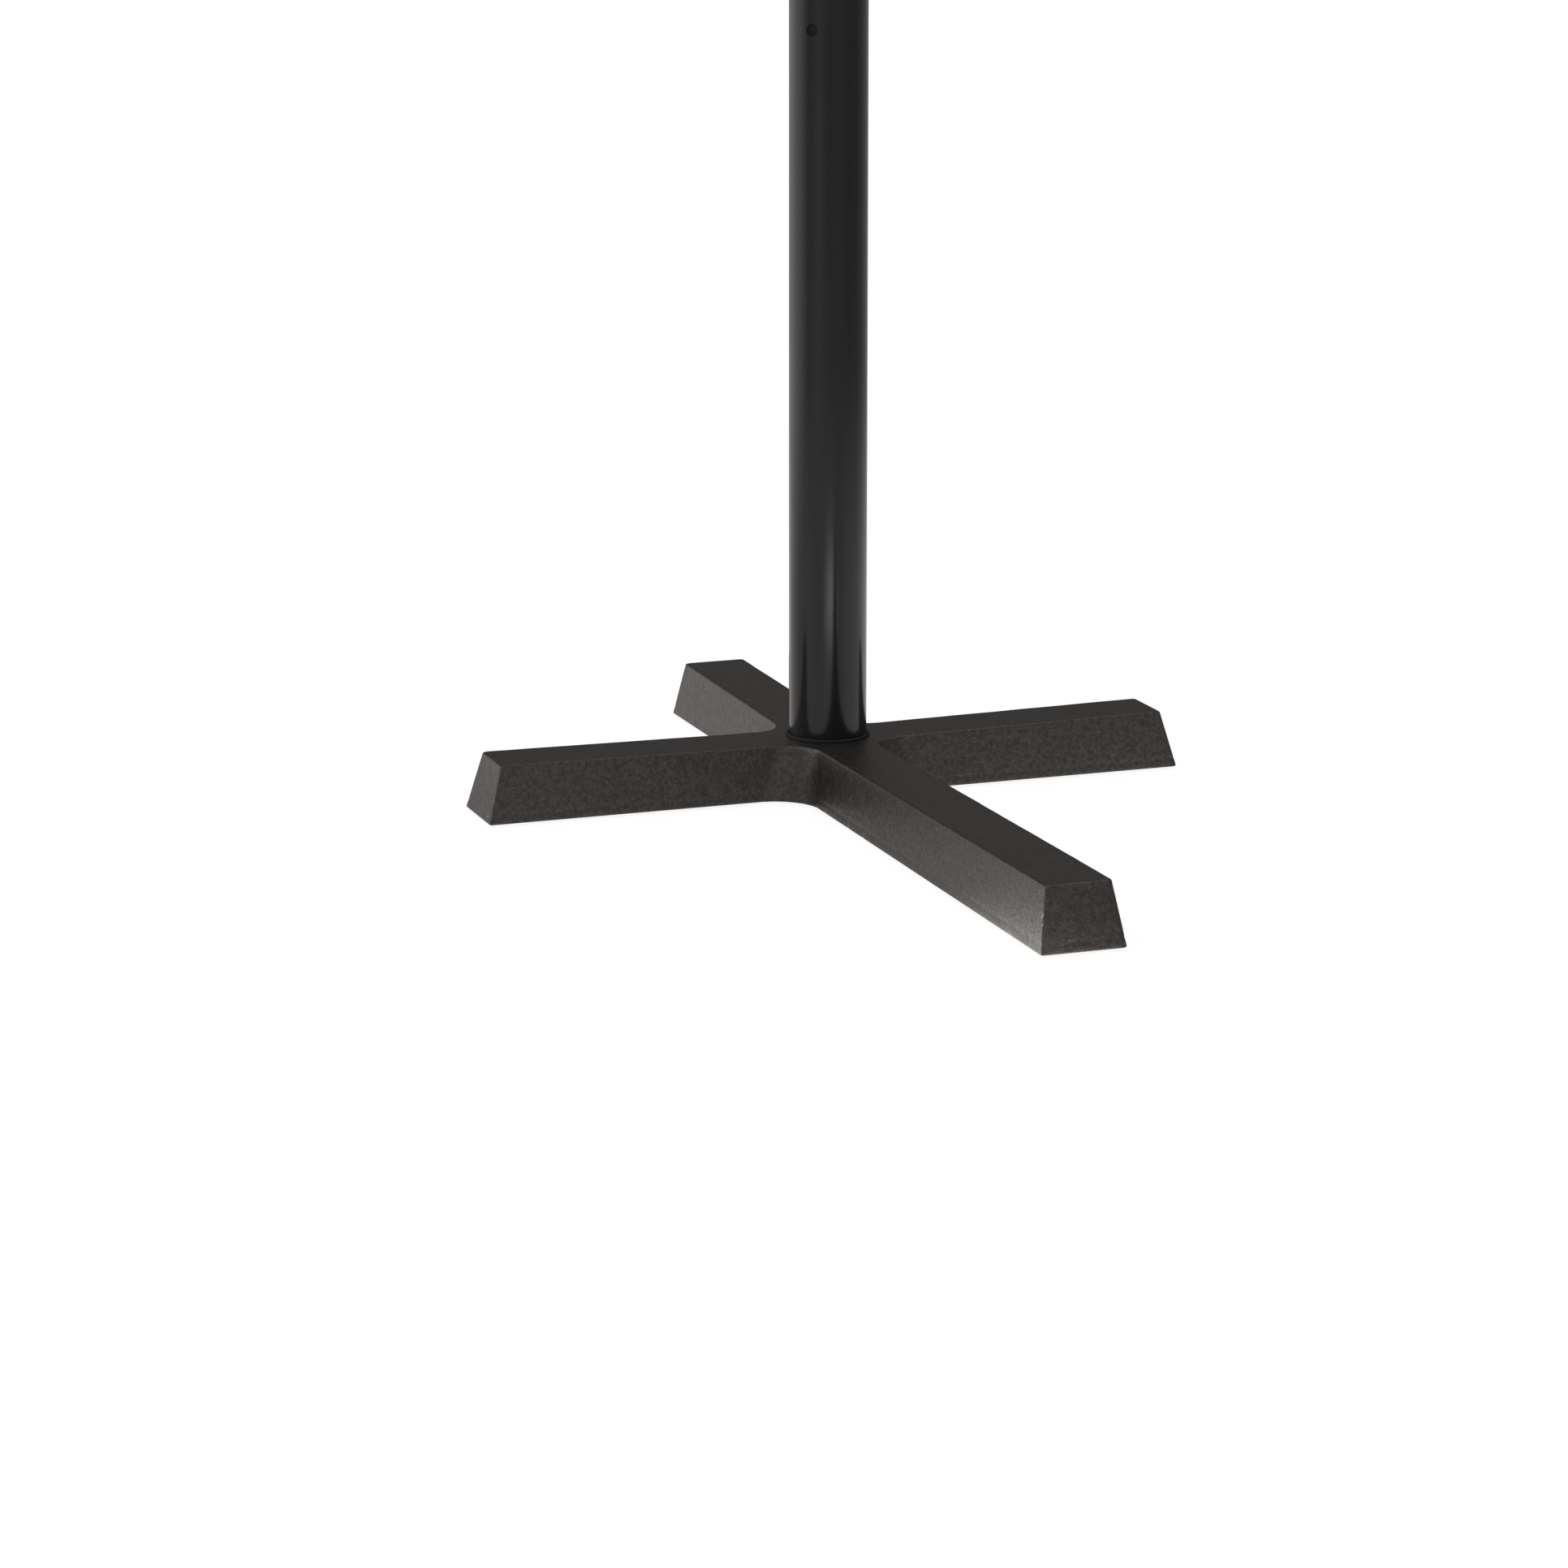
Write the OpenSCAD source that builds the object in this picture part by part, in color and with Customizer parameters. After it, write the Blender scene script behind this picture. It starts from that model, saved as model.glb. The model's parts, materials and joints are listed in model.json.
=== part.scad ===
// Four way clothing rack: a one-piece cast cross base with one long leg,
// a telescoping turning post, and four hanging arms. Units are millimetres,
// +Z is up, the long leg and the sloping arm point along -Y.
// The origin is on the floor, at the centre of the footprint.

/* [Base casting] */
// Reach of the long front leg from the post's axis
leg_front = 510; // [420:5:560]
// Reach of the right, back and left legs from the post's axis
leg_short = 282; // [250:2:296]
// Half width of a leg at its lower edge
leg_half_low = 32.4; // [30:0.2:36]
// Half width of a leg at its top, before the edge is rounded
leg_half_top = 25; // [23:0.5:28]
// Height of the casting at the post's axis
base_h = 41; // [38:0.5:46]
// Rise of the top surface towards the tips, millimetres per millimetre
top_rise = 0.0114; // [0:0.001:0.02]
// How far a tip's end face leans in over its height
tip_lean = 12; // [8:1:16]
// Plan radius of the inner corners at floor level
inner_r = 36; // [30:1:44]
// Plan radius of the inner corners at the top
inner_r_top = 27; // [22:1:30]
// Rounding radius of the top edges
edge_r = 2; // [1.5:0.5:4]
// Rounding radius of the lower edges
foot_r = 1.5; // [1:0.5:3]
// Wall thickness of the casting
cast_wall = 8; // [7:0.5:10]
// Gap between the floor and the casting when the glides are screwed in
floor_gap = 2; // [1:0.5:4]

/* [Glides] */
// Distance of a glide from the leg's tip
glide_inset = 42; // [36:1:60]
// Radius of a glide's pad
pad_r = 15; // [12:0.5:16]
// Radius of a glide's stem
stem_r = 5; // [4:0.5:6]

/* [Post] */
// Outer radius of the lower post
post_r = 30; // [29:0.5:31]
// Wall thickness of both tubes
tube_wall = 2; // [1.6:0.1:2.5]
// Height of the lower post's upper end above the floor
post_top = 1118; // [1000:2:1180]
// Outer radius of the inner post
inner_post_r = 25; // [24:0.5:25.5]
// Height of the inner post's lower end above the floor
inner_low = 598; // [598:1:640]
// Height of the inner post's upper end above the floor
inner_top = 1400; // [1390:2:1460]
// Height of the stop pin's axis above the floor
stop_z = 589; // [560:1:589]
// Radius of the stop pin
stop_pin_r = 4.4; // [3:0.1:5]

/* [Arms] */
// Outer radius of the arm tubes
arm_r = 11; // [9:0.5:12.5]
// Reach of the straight arms from the post's axis
arm_reach = 300; // [298:1:340]
// Length of the sloping front arm, measured from the post's axis
slope_len = 480; // [400:10:500]
// Downward slope of the front arm, degrees
slope_deg = 30; // [20:1:35]
// Number of hanger pins on the front arm
pin_count = 6; // [4:1:7]

/* [Hidden] */
$fn = 64;
// clearance between mating parts, and the hairline gap between faces that meet
fit = 0.05;
seam = 0.02;

// the footprint runs from the front leg's tip to the back arm's end
post_y = (leg_front - max(arm_reach, leg_short)) / 2;

// legs and arms by index, their directions and the legs' lengths
FRONT = 0;
RIGHT = 1;
BACK = 2;
LEFT = 3;
LEG_DIR = [-90, 0, 90, 180];
LEG_LEN = [leg_front, leg_short, leg_short, leg_short];
STRAIGHT_DIRS = [0, 90, 180];

// base: the bosses' lower faces are at boss_low above the floor
casting_z = floor_gap;
hub_z = floor_gap + base_h;
boss_low = 16;
bolt_r = 6;
washer_h = 2.5;
lock_washer_h = 3;
washer_z = boss_low - washer_h - fit;
lock_washer_z = washer_z - lock_washer_h - 0.03;
lock_nut_h = 6;

// lower post and its collar
post_low = hub_z + seam;
post_bore_r = post_r - tube_wall;
collar_overlap = 30;
collar_h = 46;
collar_z = post_top - collar_overlap;
collar_r = post_r + 5;

// clamp; the collar's side screws are at the knob's height
knob_z = collar_z + 12;
knob_y = collar_r + 13;
knob_recess = 23;
knob_cap_r = 12;
brake_r = 8;
brake_hole_r = 8.2;
brake_len = post_r - 0.3;
stud_r = 5;

// arm head
arm_z = inner_top - 4;
head_low = inner_top - 34;
head_top = inner_top + 22;
head_r = 36;
cap_depth = 5;
cap_plug_r = 20;

// screws: small ones hold the collar and the arms, larger ones the head
small_screw_r = 2.5;
head_screw_r = 3;
head_screw_z = head_low + 10;
COLLAR_SCREW_DIRS = [0, 180];
HEAD_SCREW_DIRS = [45, 225];
// distance of the arms' set screws from the post's axis, along each arm
arm_screw_at = head_r + 7;
slope_screw_at = head_r + 22;

// arms; their inner ends clear the inner post
arm_bore_r = arm_r - 1.5;
arm_in = inner_post_r + 0.5;
slope_in = (inner_post_r + 0.5 + arm_r * sin(slope_deg)) / cos(slope_deg);
// distance of the straight arms' outer ends from the post's axis
arm_out = arm_reach - 8;
peg_r = 3;
first_peg = 96;
last_peg_inset = 30;

BLACK = [0.045, 0.043, 0.041];
DARK = [0.09, 0.09, 0.09];
STEEL = [0.62, 0.63, 0.65];
PLASTIC = [0.07, 0.07, 0.075];

// ---------- placing ----------
// moves a shape onto the post's axis
module at_post() { translate([0, post_y, 0]) children(); }

// lays +Z outwards in each plan direction, from distance start at height z
module radially(directions, start, z) {
    for (direction = directions)
        rotate([0, 0, direction]) translate([start, 0, z]) rotate([0, 90, 0]) children();
}

// lays +Z along the knob's axis, towards the back, from distance start
module on_knob_axis(start = 0) {
    translate([0, start, knob_z]) rotate([-90, 0, 0]) children();
}

// moves to a point on the front arm's sloping axis, with +Z square to the tube;
// distance is measured along the arm from the post's axis
module on_slope(distance) {
    rotate([0, 0, LEG_DIR[FRONT]]) translate([0, 0, arm_z]) rotate([0, slope_deg, 0])
        translate([distance, 0, 0]) children();
}

// the same, with +Z along the tube
module along_slope(distance) { on_slope(distance) rotate([0, 90, 0]) children(); }

// places a child at each hanger pin, on the front arm's axis
module at_pins() {
    pitch = (slope_len - first_peg - last_peg_inset) / (pin_count - 1);
    for (i = [0:pin_count - 1]) on_slope(first_peg + i * pitch) children();
}

module glide_spot(leg) {
    rotate([0, 0, LEG_DIR[leg]]) translate([LEG_LEN[leg] - glide_inset, 0, 0]) children();
}

module glide_spots() {
    for (leg = [FRONT:LEFT]) glide_spot(leg) children();
}

// ---------- cross shape ----------
// A level of a cross solid has these columns:
// [measured from, distance, side inset, tip inset, tip corner radius, inner corner radius]
// The distance is a height above the casting's foot or a depth below its top surface.
FROM_FOOT = 0;
FROM_TOP = 1;

// steps in a tip corner and in an inner corner
TIP_STEPS = 4;
INNER_STEPS = 14;

function rotated(point, angle) = [
    point[0] * cos(angle) - point[1] * sin(angle),
    point[0] * sin(angle) + point[1] * cos(angle)];

function arc(x, y, radius, start, sweep, steps) = [
    for (i = [0:steps])
        let (angle = start + sweep * i / steps)
        [x + radius * cos(angle), y + radius * sin(angle)]];

// outline of the cross, counter-clockwise
function outline(side_inset, tip_inset, tip_r, corner_r) = [
    for (leg = [FRONT:LEFT])
        let (half = leg_half_low - side_inset,
             tip_x = LEG_LEN[leg] - tip_inset - tip_r,
             corner = half + corner_r)
        for (point = concat(
                arc(tip_x, -half + tip_r, tip_r, -90, 90, TIP_STEPS),
                arc(tip_x, half - tip_r, tip_r, 0, 90, TIP_STEPS),
                arc(corner, corner, corner_r, 270, -90, INNER_STEPS)))
            rotated(point, LEG_DIR[leg])];

// height of the top surface, which rises with the distance out along the nearest leg
function top_at(point) = base_h + top_rise * max(abs(point[0]), abs(point[1]));
function on_level(level, point) = [point[0], point[1],
    level[0] == FROM_FOOT ? level[1] : top_at(point) - level[1]];

// closed cross-shaped solid through levels, lowest first
module cross_solid(levels) {
    rings = [for (level = levels)
        [for (point = outline(level[2], level[3], level[4], level[5]))
            on_level(level, point)]];
    count = len(rings[0]);
    last = len(rings) - 1;
    low_centre = (last + 1) * count;
    high_centre = low_centre + 1;
    points = concat([for (ring = rings) each ring],
        [on_level(levels[0], [0, 0]), on_level(levels[last], [0, 0])]);
    sides = [for (j = [0:last - 1]) for (i = [0:count - 1])
        let (next = (i + 1) % count, lower = j * count, upper = lower + count)
        each [[lower + i, upper + next, lower + next],
              [lower + i, upper + i, upper + next]]];
    low = [for (i = [0:count - 1]) [low_centre, i, (i + 1) % count]];
    high = [for (i = [0:count - 1])
        [high_centre, last * count + (i + 1) % count, last * count + i]];
    polyhedron(points = points, faces = concat(sides, low, high));
}

// insets of the drafted sides and tips, and radius of the inner corners, at height z
function side_in(z) = (leg_half_low - leg_half_top) * z / base_h;
function tip_in(z) = tip_lean * z / base_h;
function inner_at(z) = inner_r + (inner_r_top - inner_r) * z / base_h;

// level that follows the drafted wall's shape at height z, moved in by inset
function wall_level(from, distance, z, inset, tip_r) =
    [from, distance, side_in(z) + inset, tip_in(z) + inset, tip_r, inner_at(z) + inset];

// ---------- base ----------
// outside of the casting, with rounded lower and top edges
module casting_body() {
    foot = [for (angle = [0:22.5:90])
        let (z = foot_r * (1 - cos(angle)))
        wall_level(FROM_FOOT, z, z, foot_r * (1 - sin(angle)), 1.8)];
    top = [for (angle = [0:22.5:90])
        let (drop = edge_r * (1 - sin(angle)))
        wall_level(FROM_TOP, drop, base_h - drop, edge_r * (1 - cos(angle)), 2)];
    cross_solid(concat(foot, top));
}

// space inside the walls, open at the floor and rounded below the top wall
module casting_cavity() {
    ceiling = base_h - cast_wall;
    shoulder = ceiling - 5;
    cross_solid([
        [FROM_FOOT, -1, cast_wall - 0.3, cast_wall, 5, inner_r + cast_wall - 1],
        wall_level(FROM_FOOT, shoulder, shoulder, cast_wall, 5),
        [FROM_TOP, cast_wall + 1.5, cast_wall + side_in(ceiling) + 1.5,
            cast_wall + tip_in(ceiling) + 1.5, 4.5, cast_wall + inner_at(base_h) + 1.5],
        wall_level(FROM_TOP, cast_wall, base_h, cast_wall + 4, 4)]);
}

// hollow underside, leaving the hub's boss, the glide bosses and their webs
module casting_hollow() {
    boss_z = boss_low - casting_z;
    web_start = 20;
    web_low = 22;
    web_thick = 6;
    difference() {
        casting_cavity();
        translate([0, 0, boss_z]) cylinder(r = 26, h = base_h);
        translate([0, 0, boss_z]) glide_spots() cylinder(r = 11, h = base_h);
        // webs that join the bosses to the hub
        for (leg = [FRONT:LEFT]) rotate([0, 0, LEG_DIR[leg]])
            translate([web_start, -web_thick / 2, web_low])
                cube([LEG_LEN[leg] - glide_inset - web_start, web_thick, base_h]);
    }
}

module base_casting() {
    color(BLACK) at_post() translate([0, 0, casting_z]) difference() {
        casting_body();
        // flat machined seat for the post
        translate([0, 0, base_h]) cylinder(r = 33, h = 5);
        casting_hollow();
        // hole for the base bolt
        translate([0, 0, -5]) cylinder(r = bolt_r + 0.6, h = base_h + 10);
        // tapped holes for the glides
        translate([0, 0, -5]) glide_spots()
            cylinder(r = stem_r + fit, h = base_h - cast_wall + 4);
    }
}

// trim ring around the foot of the post
module seat_ring() {
    height = 3;
    color(PLASTIC) at_post() translate([0, 0, post_low]) rotate_extrude()
        polygon([[post_r + fit, 0], [post_r + 2.4, 0.2], [post_r + 2.4, height - 1.2],
            [post_r + 1.6, height], [post_r + fit, height]]);
}

module lower_post() {
    color(BLACK) at_post() difference() {
        translate([0, 0, post_low]) cylinder(r = post_r, h = post_top - post_low);
        translate([0, 0, hub_z - 1]) cylinder(r = post_bore_r, h = post_top);
        // cross hole for the stop pin
        radially([45], 0, stop_z) cylinder(r = stop_pin_r + fit, h = 3 * post_r, center = true);
        // hole for the brake pad and the knob's stud
        on_knob_axis() cylinder(r = brake_hole_r, h = 2 * post_r);
        // tapped holes for the collar's screws
        radially(COLLAR_SCREW_DIRS, post_r - 6, knob_z)
            cylinder(r = small_screw_r + fit, h = 12);
    }
}

// solid plug welded into the foot of the lower post, tapped for the base bolt
module post_plug() {
    color(STEEL) at_post() difference() {
        union() {
            translate([0, 0, post_low + seam]) cylinder(r = post_bore_r - fit, h = 12);
            translate([0, 0, hub_z + 12]) cylinder(r = 12, h = 14);
        }
        translate([0, 0, hub_z - 1]) cylinder(r = bolt_r + fit, h = 40);
    }
}

module base_bolt() {
    head_h = 7;
    color(STEEL) at_post() union() {
        translate([0, 0, lock_washer_z - seam - head_h]) cylinder(r = 10.4, h = head_h, $fn = 6);
        translate([0, 0, boss_low - 6]) cylinder(r = bolt_r, h = 56);
    }
}

module base_washer() {
    color(STEEL) at_post() translate([0, 0, washer_z]) difference() {
        cylinder(r = 14, h = washer_h);
        translate([0, 0, -1]) cylinder(r = bolt_r + 0.5, h = 5);
    }
}

// split spring washer between the washer and the bolt's head
module base_lock_washer() {
    color(STEEL) at_post() translate([0, 0, lock_washer_z]) difference() {
        cylinder(r = 10.2, h = lock_washer_h);
        translate([0, 0, -1]) cylinder(r = bolt_r + 0.2, h = 5);
        // slanted split
        rotate([0, 0, 20]) translate([8, 0, lock_washer_h / 2]) rotate([25, 0, 0])
            cube([8, 1.4, 8], center = true);
    }
}

// ---------- lower post fittings ----------
// cross pin pressed in just below the tube's surface, with cupped ends: the
// inner post comes down onto it
module stop_pin() {
    color(DARK) at_post() radially([45], 0, stop_z) rotate_extrude()
        polygon([[0, -post_r + 1.6], [stop_pin_r - 1.4, -post_r + 1.4],
            [stop_pin_r - 0.4, -post_r + 0.6], [stop_pin_r, -post_r + 1],
            [stop_pin_r, post_r - 1], [stop_pin_r - 0.4, post_r - 0.6],
            [stop_pin_r - 1.4, post_r - 1.4], [0, post_r - 1.6]]);
}

// steel collar around the lower post's upper end, it holds the knob
module collar() {
    lip_r = post_r - 3.4;
    lip_z = collar_overlap + 0.3;
    color(BLACK) at_post() difference() {
        union() {
            translate([0, 0, collar_z]) rotate_extrude()
                polygon([[post_r + fit, 0], [collar_r - 1, 0], [collar_r, 1],
                    [collar_r, collar_h - 2], [collar_r - 2, collar_h],
                    [lip_r, collar_h], [lip_r, lip_z], [post_r + fit, lip_z]]);
            // boss for the stud
            on_knob_axis() difference() {
                cylinder(r = 11, h = collar_r + 9);
                translate([0, 0, -1]) cylinder(r = 20, h = post_r + 3);
            }
        }
        on_knob_axis() cylinder(r = stud_r + fit, h = 80);
        // pocket the brake pad backs into
        on_knob_axis() cylinder(r = brake_hole_r, h = post_r + 3.5);
        // screw holes with wider outer ends for the screws' heads
        radially(COLLAR_SCREW_DIRS, post_r - 2, knob_z) {
            cylinder(r = small_screw_r + 0.2, h = 12);
            translate([0, 0, 4.8]) cylinder(r = 5.2, h = 12);
        }
    }
}

// plastic guide bush in the upper end of the lower post
module collar_bush() {
    color(PLASTIC) at_post() difference() {
        translate([0, 0, collar_z - 30]) cylinder(r = post_bore_r - fit, h = 59.9);
        translate([0, 0, collar_z - 31]) cylinder(r = inner_post_r + 0.08, h = 90);
        on_knob_axis() cylinder(r = brake_hole_r, h = 60);
        radially(COLLAR_SCREW_DIRS, 20, knob_z) cylinder(r = 3, h = 20);
    }
}

module collar_screws() {
    color(DARK) at_post() radially(COLLAR_SCREW_DIRS, post_r - 3, knob_z) difference() {
        union() {
            cylinder(r = small_screw_r, h = 7);
            translate([0, 0, 5.85]) cylinder(r1 = 4.8, r2 = 3.6, h = 2.4);
        }
        // hexagonal drive socket
        translate([0, 0, 6.9]) cylinder(r = 1.8, h = 4, $fn = 6);
    }
}

// ---------- glides ----------
module glide_lock_nuts() {
    color(STEEL) at_post() glide_spots() translate([0, 0, boss_low - lock_nut_h - fit])
        difference() {
            cylinder(r = 9.2, h = lock_nut_h, $fn = 6);
            translate([0, 0, -1]) cylinder(r = stem_r + fit, h = 8);
        }
}

// threaded stem of one leg's glide, with a narrower neck held in the pad
module glide_stem(leg) {
    neck_r = stem_r - 1;
    color(STEEL) at_post() glide_spot(leg) rotate_extrude()
        polygon([[0, 3], [neck_r, 3], [neck_r, 6.5], [stem_r, 6.5],
            [stem_r, 33], [stem_r - 1, 34], [0, 34]]);
}

module glide_pad(leg) {
    socket_r = stem_r - 1 + seam;
    socket_z = 3 - seam;
    color(PLASTIC) at_post() glide_spot(leg) rotate_extrude()
        polygon([[0, 0], [pad_r - 1, 0], [pad_r, 1], [pad_r, 3], [pad_r - 3, 5],
            [8, 6.4], [socket_r, 6.4], [socket_r, socket_z], [0, socket_z]]);
}

module glide_stem_front() { glide_stem(FRONT); }
module glide_pad_front() { glide_pad(FRONT); }
module glide_stem_right() { glide_stem(RIGHT); }
module glide_pad_right() { glide_pad(RIGHT); }
module glide_stem_back() { glide_stem(BACK); }
module glide_pad_back() { glide_pad(BACK); }
module glide_stem_left() { glide_stem(LEFT); }
module glide_pad_left() { glide_pad(LEFT); }

// ---------- telescoping post ----------
// plastic bush at the inner post's lower end; it slides in the lower post
module guide_bush() {
    outer_r = post_bore_r - 0.06;
    outer_end_r = post_bore_r - 1;
    bore_r = inner_post_r + 0.06;
    lip_r = inner_post_r - 4;
    lip_h = 3.9;
    height = 37.5;
    color(PLASTIC) at_post() translate([0, 0, inner_low - 4]) rotate_extrude()
        polygon([[lip_r, 0], [outer_end_r, 0], [outer_r, 1.5], [outer_r, height - 1.5],
            [outer_end_r, height], [bore_r, height], [bore_r, lip_h], [lip_r, lip_h]]);
}

module inner_post() {
    color(BLACK) at_post() difference() {
        translate([0, 0, inner_low]) cylinder(r = inner_post_r, h = inner_top - inner_low);
        translate([0, 0, inner_low - 1]) cylinder(r = inner_post_r - tube_wall, h = inner_top);
        // tapped holes for the head's set screws
        radially(HEAD_SCREW_DIRS, inner_post_r - 5, head_screw_z)
            cylinder(r = head_screw_r + fit, h = 12);
    }
}

// ring clipped around the inner post above the guide bush
module bush_retainer() {
    color(STEEL) at_post() translate([0, 0, inner_low + 33.7]) difference() {
        cylinder(r = post_bore_r - 0.6, h = 3);
        translate([0, 0, -1]) cylinder(r = inner_post_r + 0.04, h = 5);
    }
}

// ---------- arm head ----------
// round hub with a sleeve around each arm
module head_body() {
    sleeve_r = arm_r + 4;
    rotate_extrude() polygon([[0, head_low], [head_r - 3, head_low],
        [head_r, head_low + 3], [head_r, head_top - 4], [head_r - 4, head_top],
        [0, head_top]]);
    radially(STRAIGHT_DIRS, 0, arm_z) cylinder(r = sleeve_r, h = head_r + 14);
    along_slope(0) cylinder(r = sleeve_r, h = head_r + 30);
}

module arm_head() {
    color(BLACK) at_post() difference() {
        union() head_body();
        // socket for the inner post
        translate([0, 0, head_low - 12])
            cylinder(r = inner_post_r + fit, h = inner_top - head_low + 12 + fit);
        // bores for the arms
        radially(STRAIGHT_DIRS, inner_post_r + 0.3, arm_z) cylinder(r = arm_r + fit, h = 60);
        along_slope(slope_in - 0.2) cylinder(r = arm_r + fit, h = 60);
        // tapped holes for the arms' set screws
        for (direction = STRAIGHT_DIRS) rotate([0, 0, direction])
            translate([arm_screw_at, 0, arm_z]) cylinder(r = small_screw_r + fit, h = 30);
        on_slope(slope_screw_at) cylinder(r = small_screw_r + fit, h = 30);
        // tapped holes for the head's own set screws
        radially(HEAD_SCREW_DIRS, inner_post_r - 4, head_screw_z)
            cylinder(r = head_screw_r + fit, h = 20);
        // seat of the cap
        translate([0, 0, head_top - cap_depth])
            cylinder(r = cap_plug_r + seam, h = cap_depth + 1);
    }
}

// headless screw with a hexagonal socket in its upper end
module set_screw(radius, height) {
    difference() {
        cylinder(r = radius, h = height);
        translate([0, 0, height - 2.5]) cylinder(r = radius * 0.5, h = 4, $fn = 6);
    }
}

// screws that stand on the arm tubes' upper sides
module arm_set_screws() {
    height = 4.4;
    seat = arm_r + 0.03;
    color(DARK) at_post() {
        for (direction = STRAIGHT_DIRS) rotate([0, 0, direction])
            translate([arm_screw_at, 0, arm_z + seat]) set_screw(small_screw_r, height);
        on_slope(slope_screw_at) translate([0, 0, seat]) set_screw(small_screw_r, height);
    }
}

module head_set_screws() {
    color(DARK) at_post() radially(HEAD_SCREW_DIRS, inner_post_r - 2, head_screw_z)
        set_screw(head_screw_r, 12);
}

module head_cap() {
    color(PLASTIC) at_post() translate([0, 0, head_top - cap_depth]) rotate_extrude()
        polygon([[0, seam], [cap_plug_r, seam], [cap_plug_r, cap_depth],
            [24, cap_depth + fit], [24, 7], [21, 9], [12, 10.4], [0, 10.8]]);
}

// ---------- arms ----------
module straight_arm(arm) {
    color(BLACK) at_post() radially([LEG_DIR[arm]], arm_in, arm_z) difference() {
        cylinder(r = arm_r, h = arm_out - arm_in);
        translate([0, 0, -1]) cylinder(r = arm_bore_r, h = arm_reach);
    }
}

// [radius, height] of the plug inside an arm's end, shared by the stops and the cap
END_PLUG = [[0, -14], [arm_bore_r - 0.4, -14], [arm_bore_r - seam, -12],
    [arm_bore_r - seam, seam]];

// disc pressed into the arm's end, taller than the tube so hangers stay on
module arm_stop(arm) {
    color(PLASTIC) at_post() radially([LEG_DIR[arm]], arm_out, arm_z) rotate_extrude()
        polygon(concat(END_PLUG, [[arm_r + 4, seam], [arm_r + 5, 1.2], [arm_r + 5, 4],
            [arm_r + 3, 6.6], [arm_r - 2, 8], [0, 8]]));
}

module right_arm() { straight_arm(RIGHT); }
module back_arm() { straight_arm(BACK); }
module left_arm() { straight_arm(LEFT); }
module right_arm_stop() { arm_stop(RIGHT); }
module back_arm_stop() { arm_stop(BACK); }
module left_arm_stop() { arm_stop(LEFT); }

module front_arm() {
    color(BLACK) at_post() difference() {
        along_slope(slope_in) cylinder(r = arm_r, h = slope_len - slope_in);
        along_slope(slope_in - 1) cylinder(r = arm_bore_r, h = slope_len);
        at_pins() cylinder(r = peg_r + seam, h = 20);
    }
}

// pegs that hold the hangers apart on the slope
module hanger_pins() {
    color(STEEL) at_post() at_pins() translate([0, 0, arm_r - 3]) rotate_extrude()
        polygon([[0, 0], [peg_r, 0], [peg_r, 16], [4.4, 17.2], [4.9, 18.6],
            [4.4, 20.4], [peg_r, 21.6], [0, 22]]);
}

module front_arm_cap() {
    color(PLASTIC) at_post() along_slope(slope_len) rotate_extrude()
        polygon(concat(END_PLUG, [[arm_r, seam], [arm_r, 2], [arm_r - 2.5, 4.5], [0, 5.2]]));
}

// ---------- clamp ----------
// brake pad that presses on the inner post
module clamp_pad() {
    color(PLASTIC) at_post() on_knob_axis() difference() {
        cylinder(r = brake_r, h = brake_len);
        rotate([90, 0, 0]) cylinder(r = inner_post_r + 0.08, h = 60, center = true);
    }
}

module knob_stud() {
    color(STEEL) at_post() on_knob_axis(brake_len + seam) cylinder(r = stud_r, h = 36);
}

// round knob with six lobes
module clamp_knob() {
    color(PLASTIC) at_post() on_knob_axis(knob_y) difference() {
        union() {
            rotate_extrude() polygon([[0, 0], [9, 0], [11, 6], [19, 9], [21, 11], [21, 22],
                [19, 25], [0, 25]]);
            for (angle = [0:60:300]) rotate([0, 0, angle]) translate([19, 0, 8.5])
                cylinder(r = 6, h = 15);
        }
        translate([0, 0, -1]) cylinder(r = stud_r + seam, h = 20);
        translate([0, 0, knob_recess]) cylinder(r = knob_cap_r + seam, h = 5);
    }
}

module knob_cap() {
    color(DARK) at_post() on_knob_axis(knob_y + knob_recess + seam) rotate_extrude()
        polygon([[0, 0], [knob_cap_r, 0], [knob_cap_r, 2.2], [9, 3.2], [0, 3.8]]);
}

base_casting();
seat_ring();
lower_post();
post_plug();
base_bolt();
base_washer();
base_lock_washer();
stop_pin();
collar();
collar_bush();
collar_screws();
glide_lock_nuts();
glide_stem_front();
glide_pad_front();
glide_stem_right();
glide_pad_right();
glide_stem_back();
glide_pad_back();
glide_stem_left();
glide_pad_left();
guide_bush();
inner_post();
bush_retainer();
arm_head();
arm_set_screws();
head_set_screws();
head_cap();
front_arm();
hanger_pins();
front_arm_cap();
right_arm();
right_arm_stop();
back_arm();
back_arm_stop();
left_arm();
left_arm_stop();
clamp_pad();
knob_stud();
clamp_knob();
knob_cap();
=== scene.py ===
# Free-standing hanging rack: a cast base with four legs and glides, a post with a clamp
# collar and knob, and a mast whose cast head carries three level arms and one sloping arm
# with a row of pins. Metres, +Z up, floor at z = 0. The long leg and the sloping arm point
# to the front (-Y); +X is right, +Y is back. The post's axis is vertical.
import json
import math
import bmesh
import bpy
from mathutils import Matrix, Vector, noise


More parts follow.
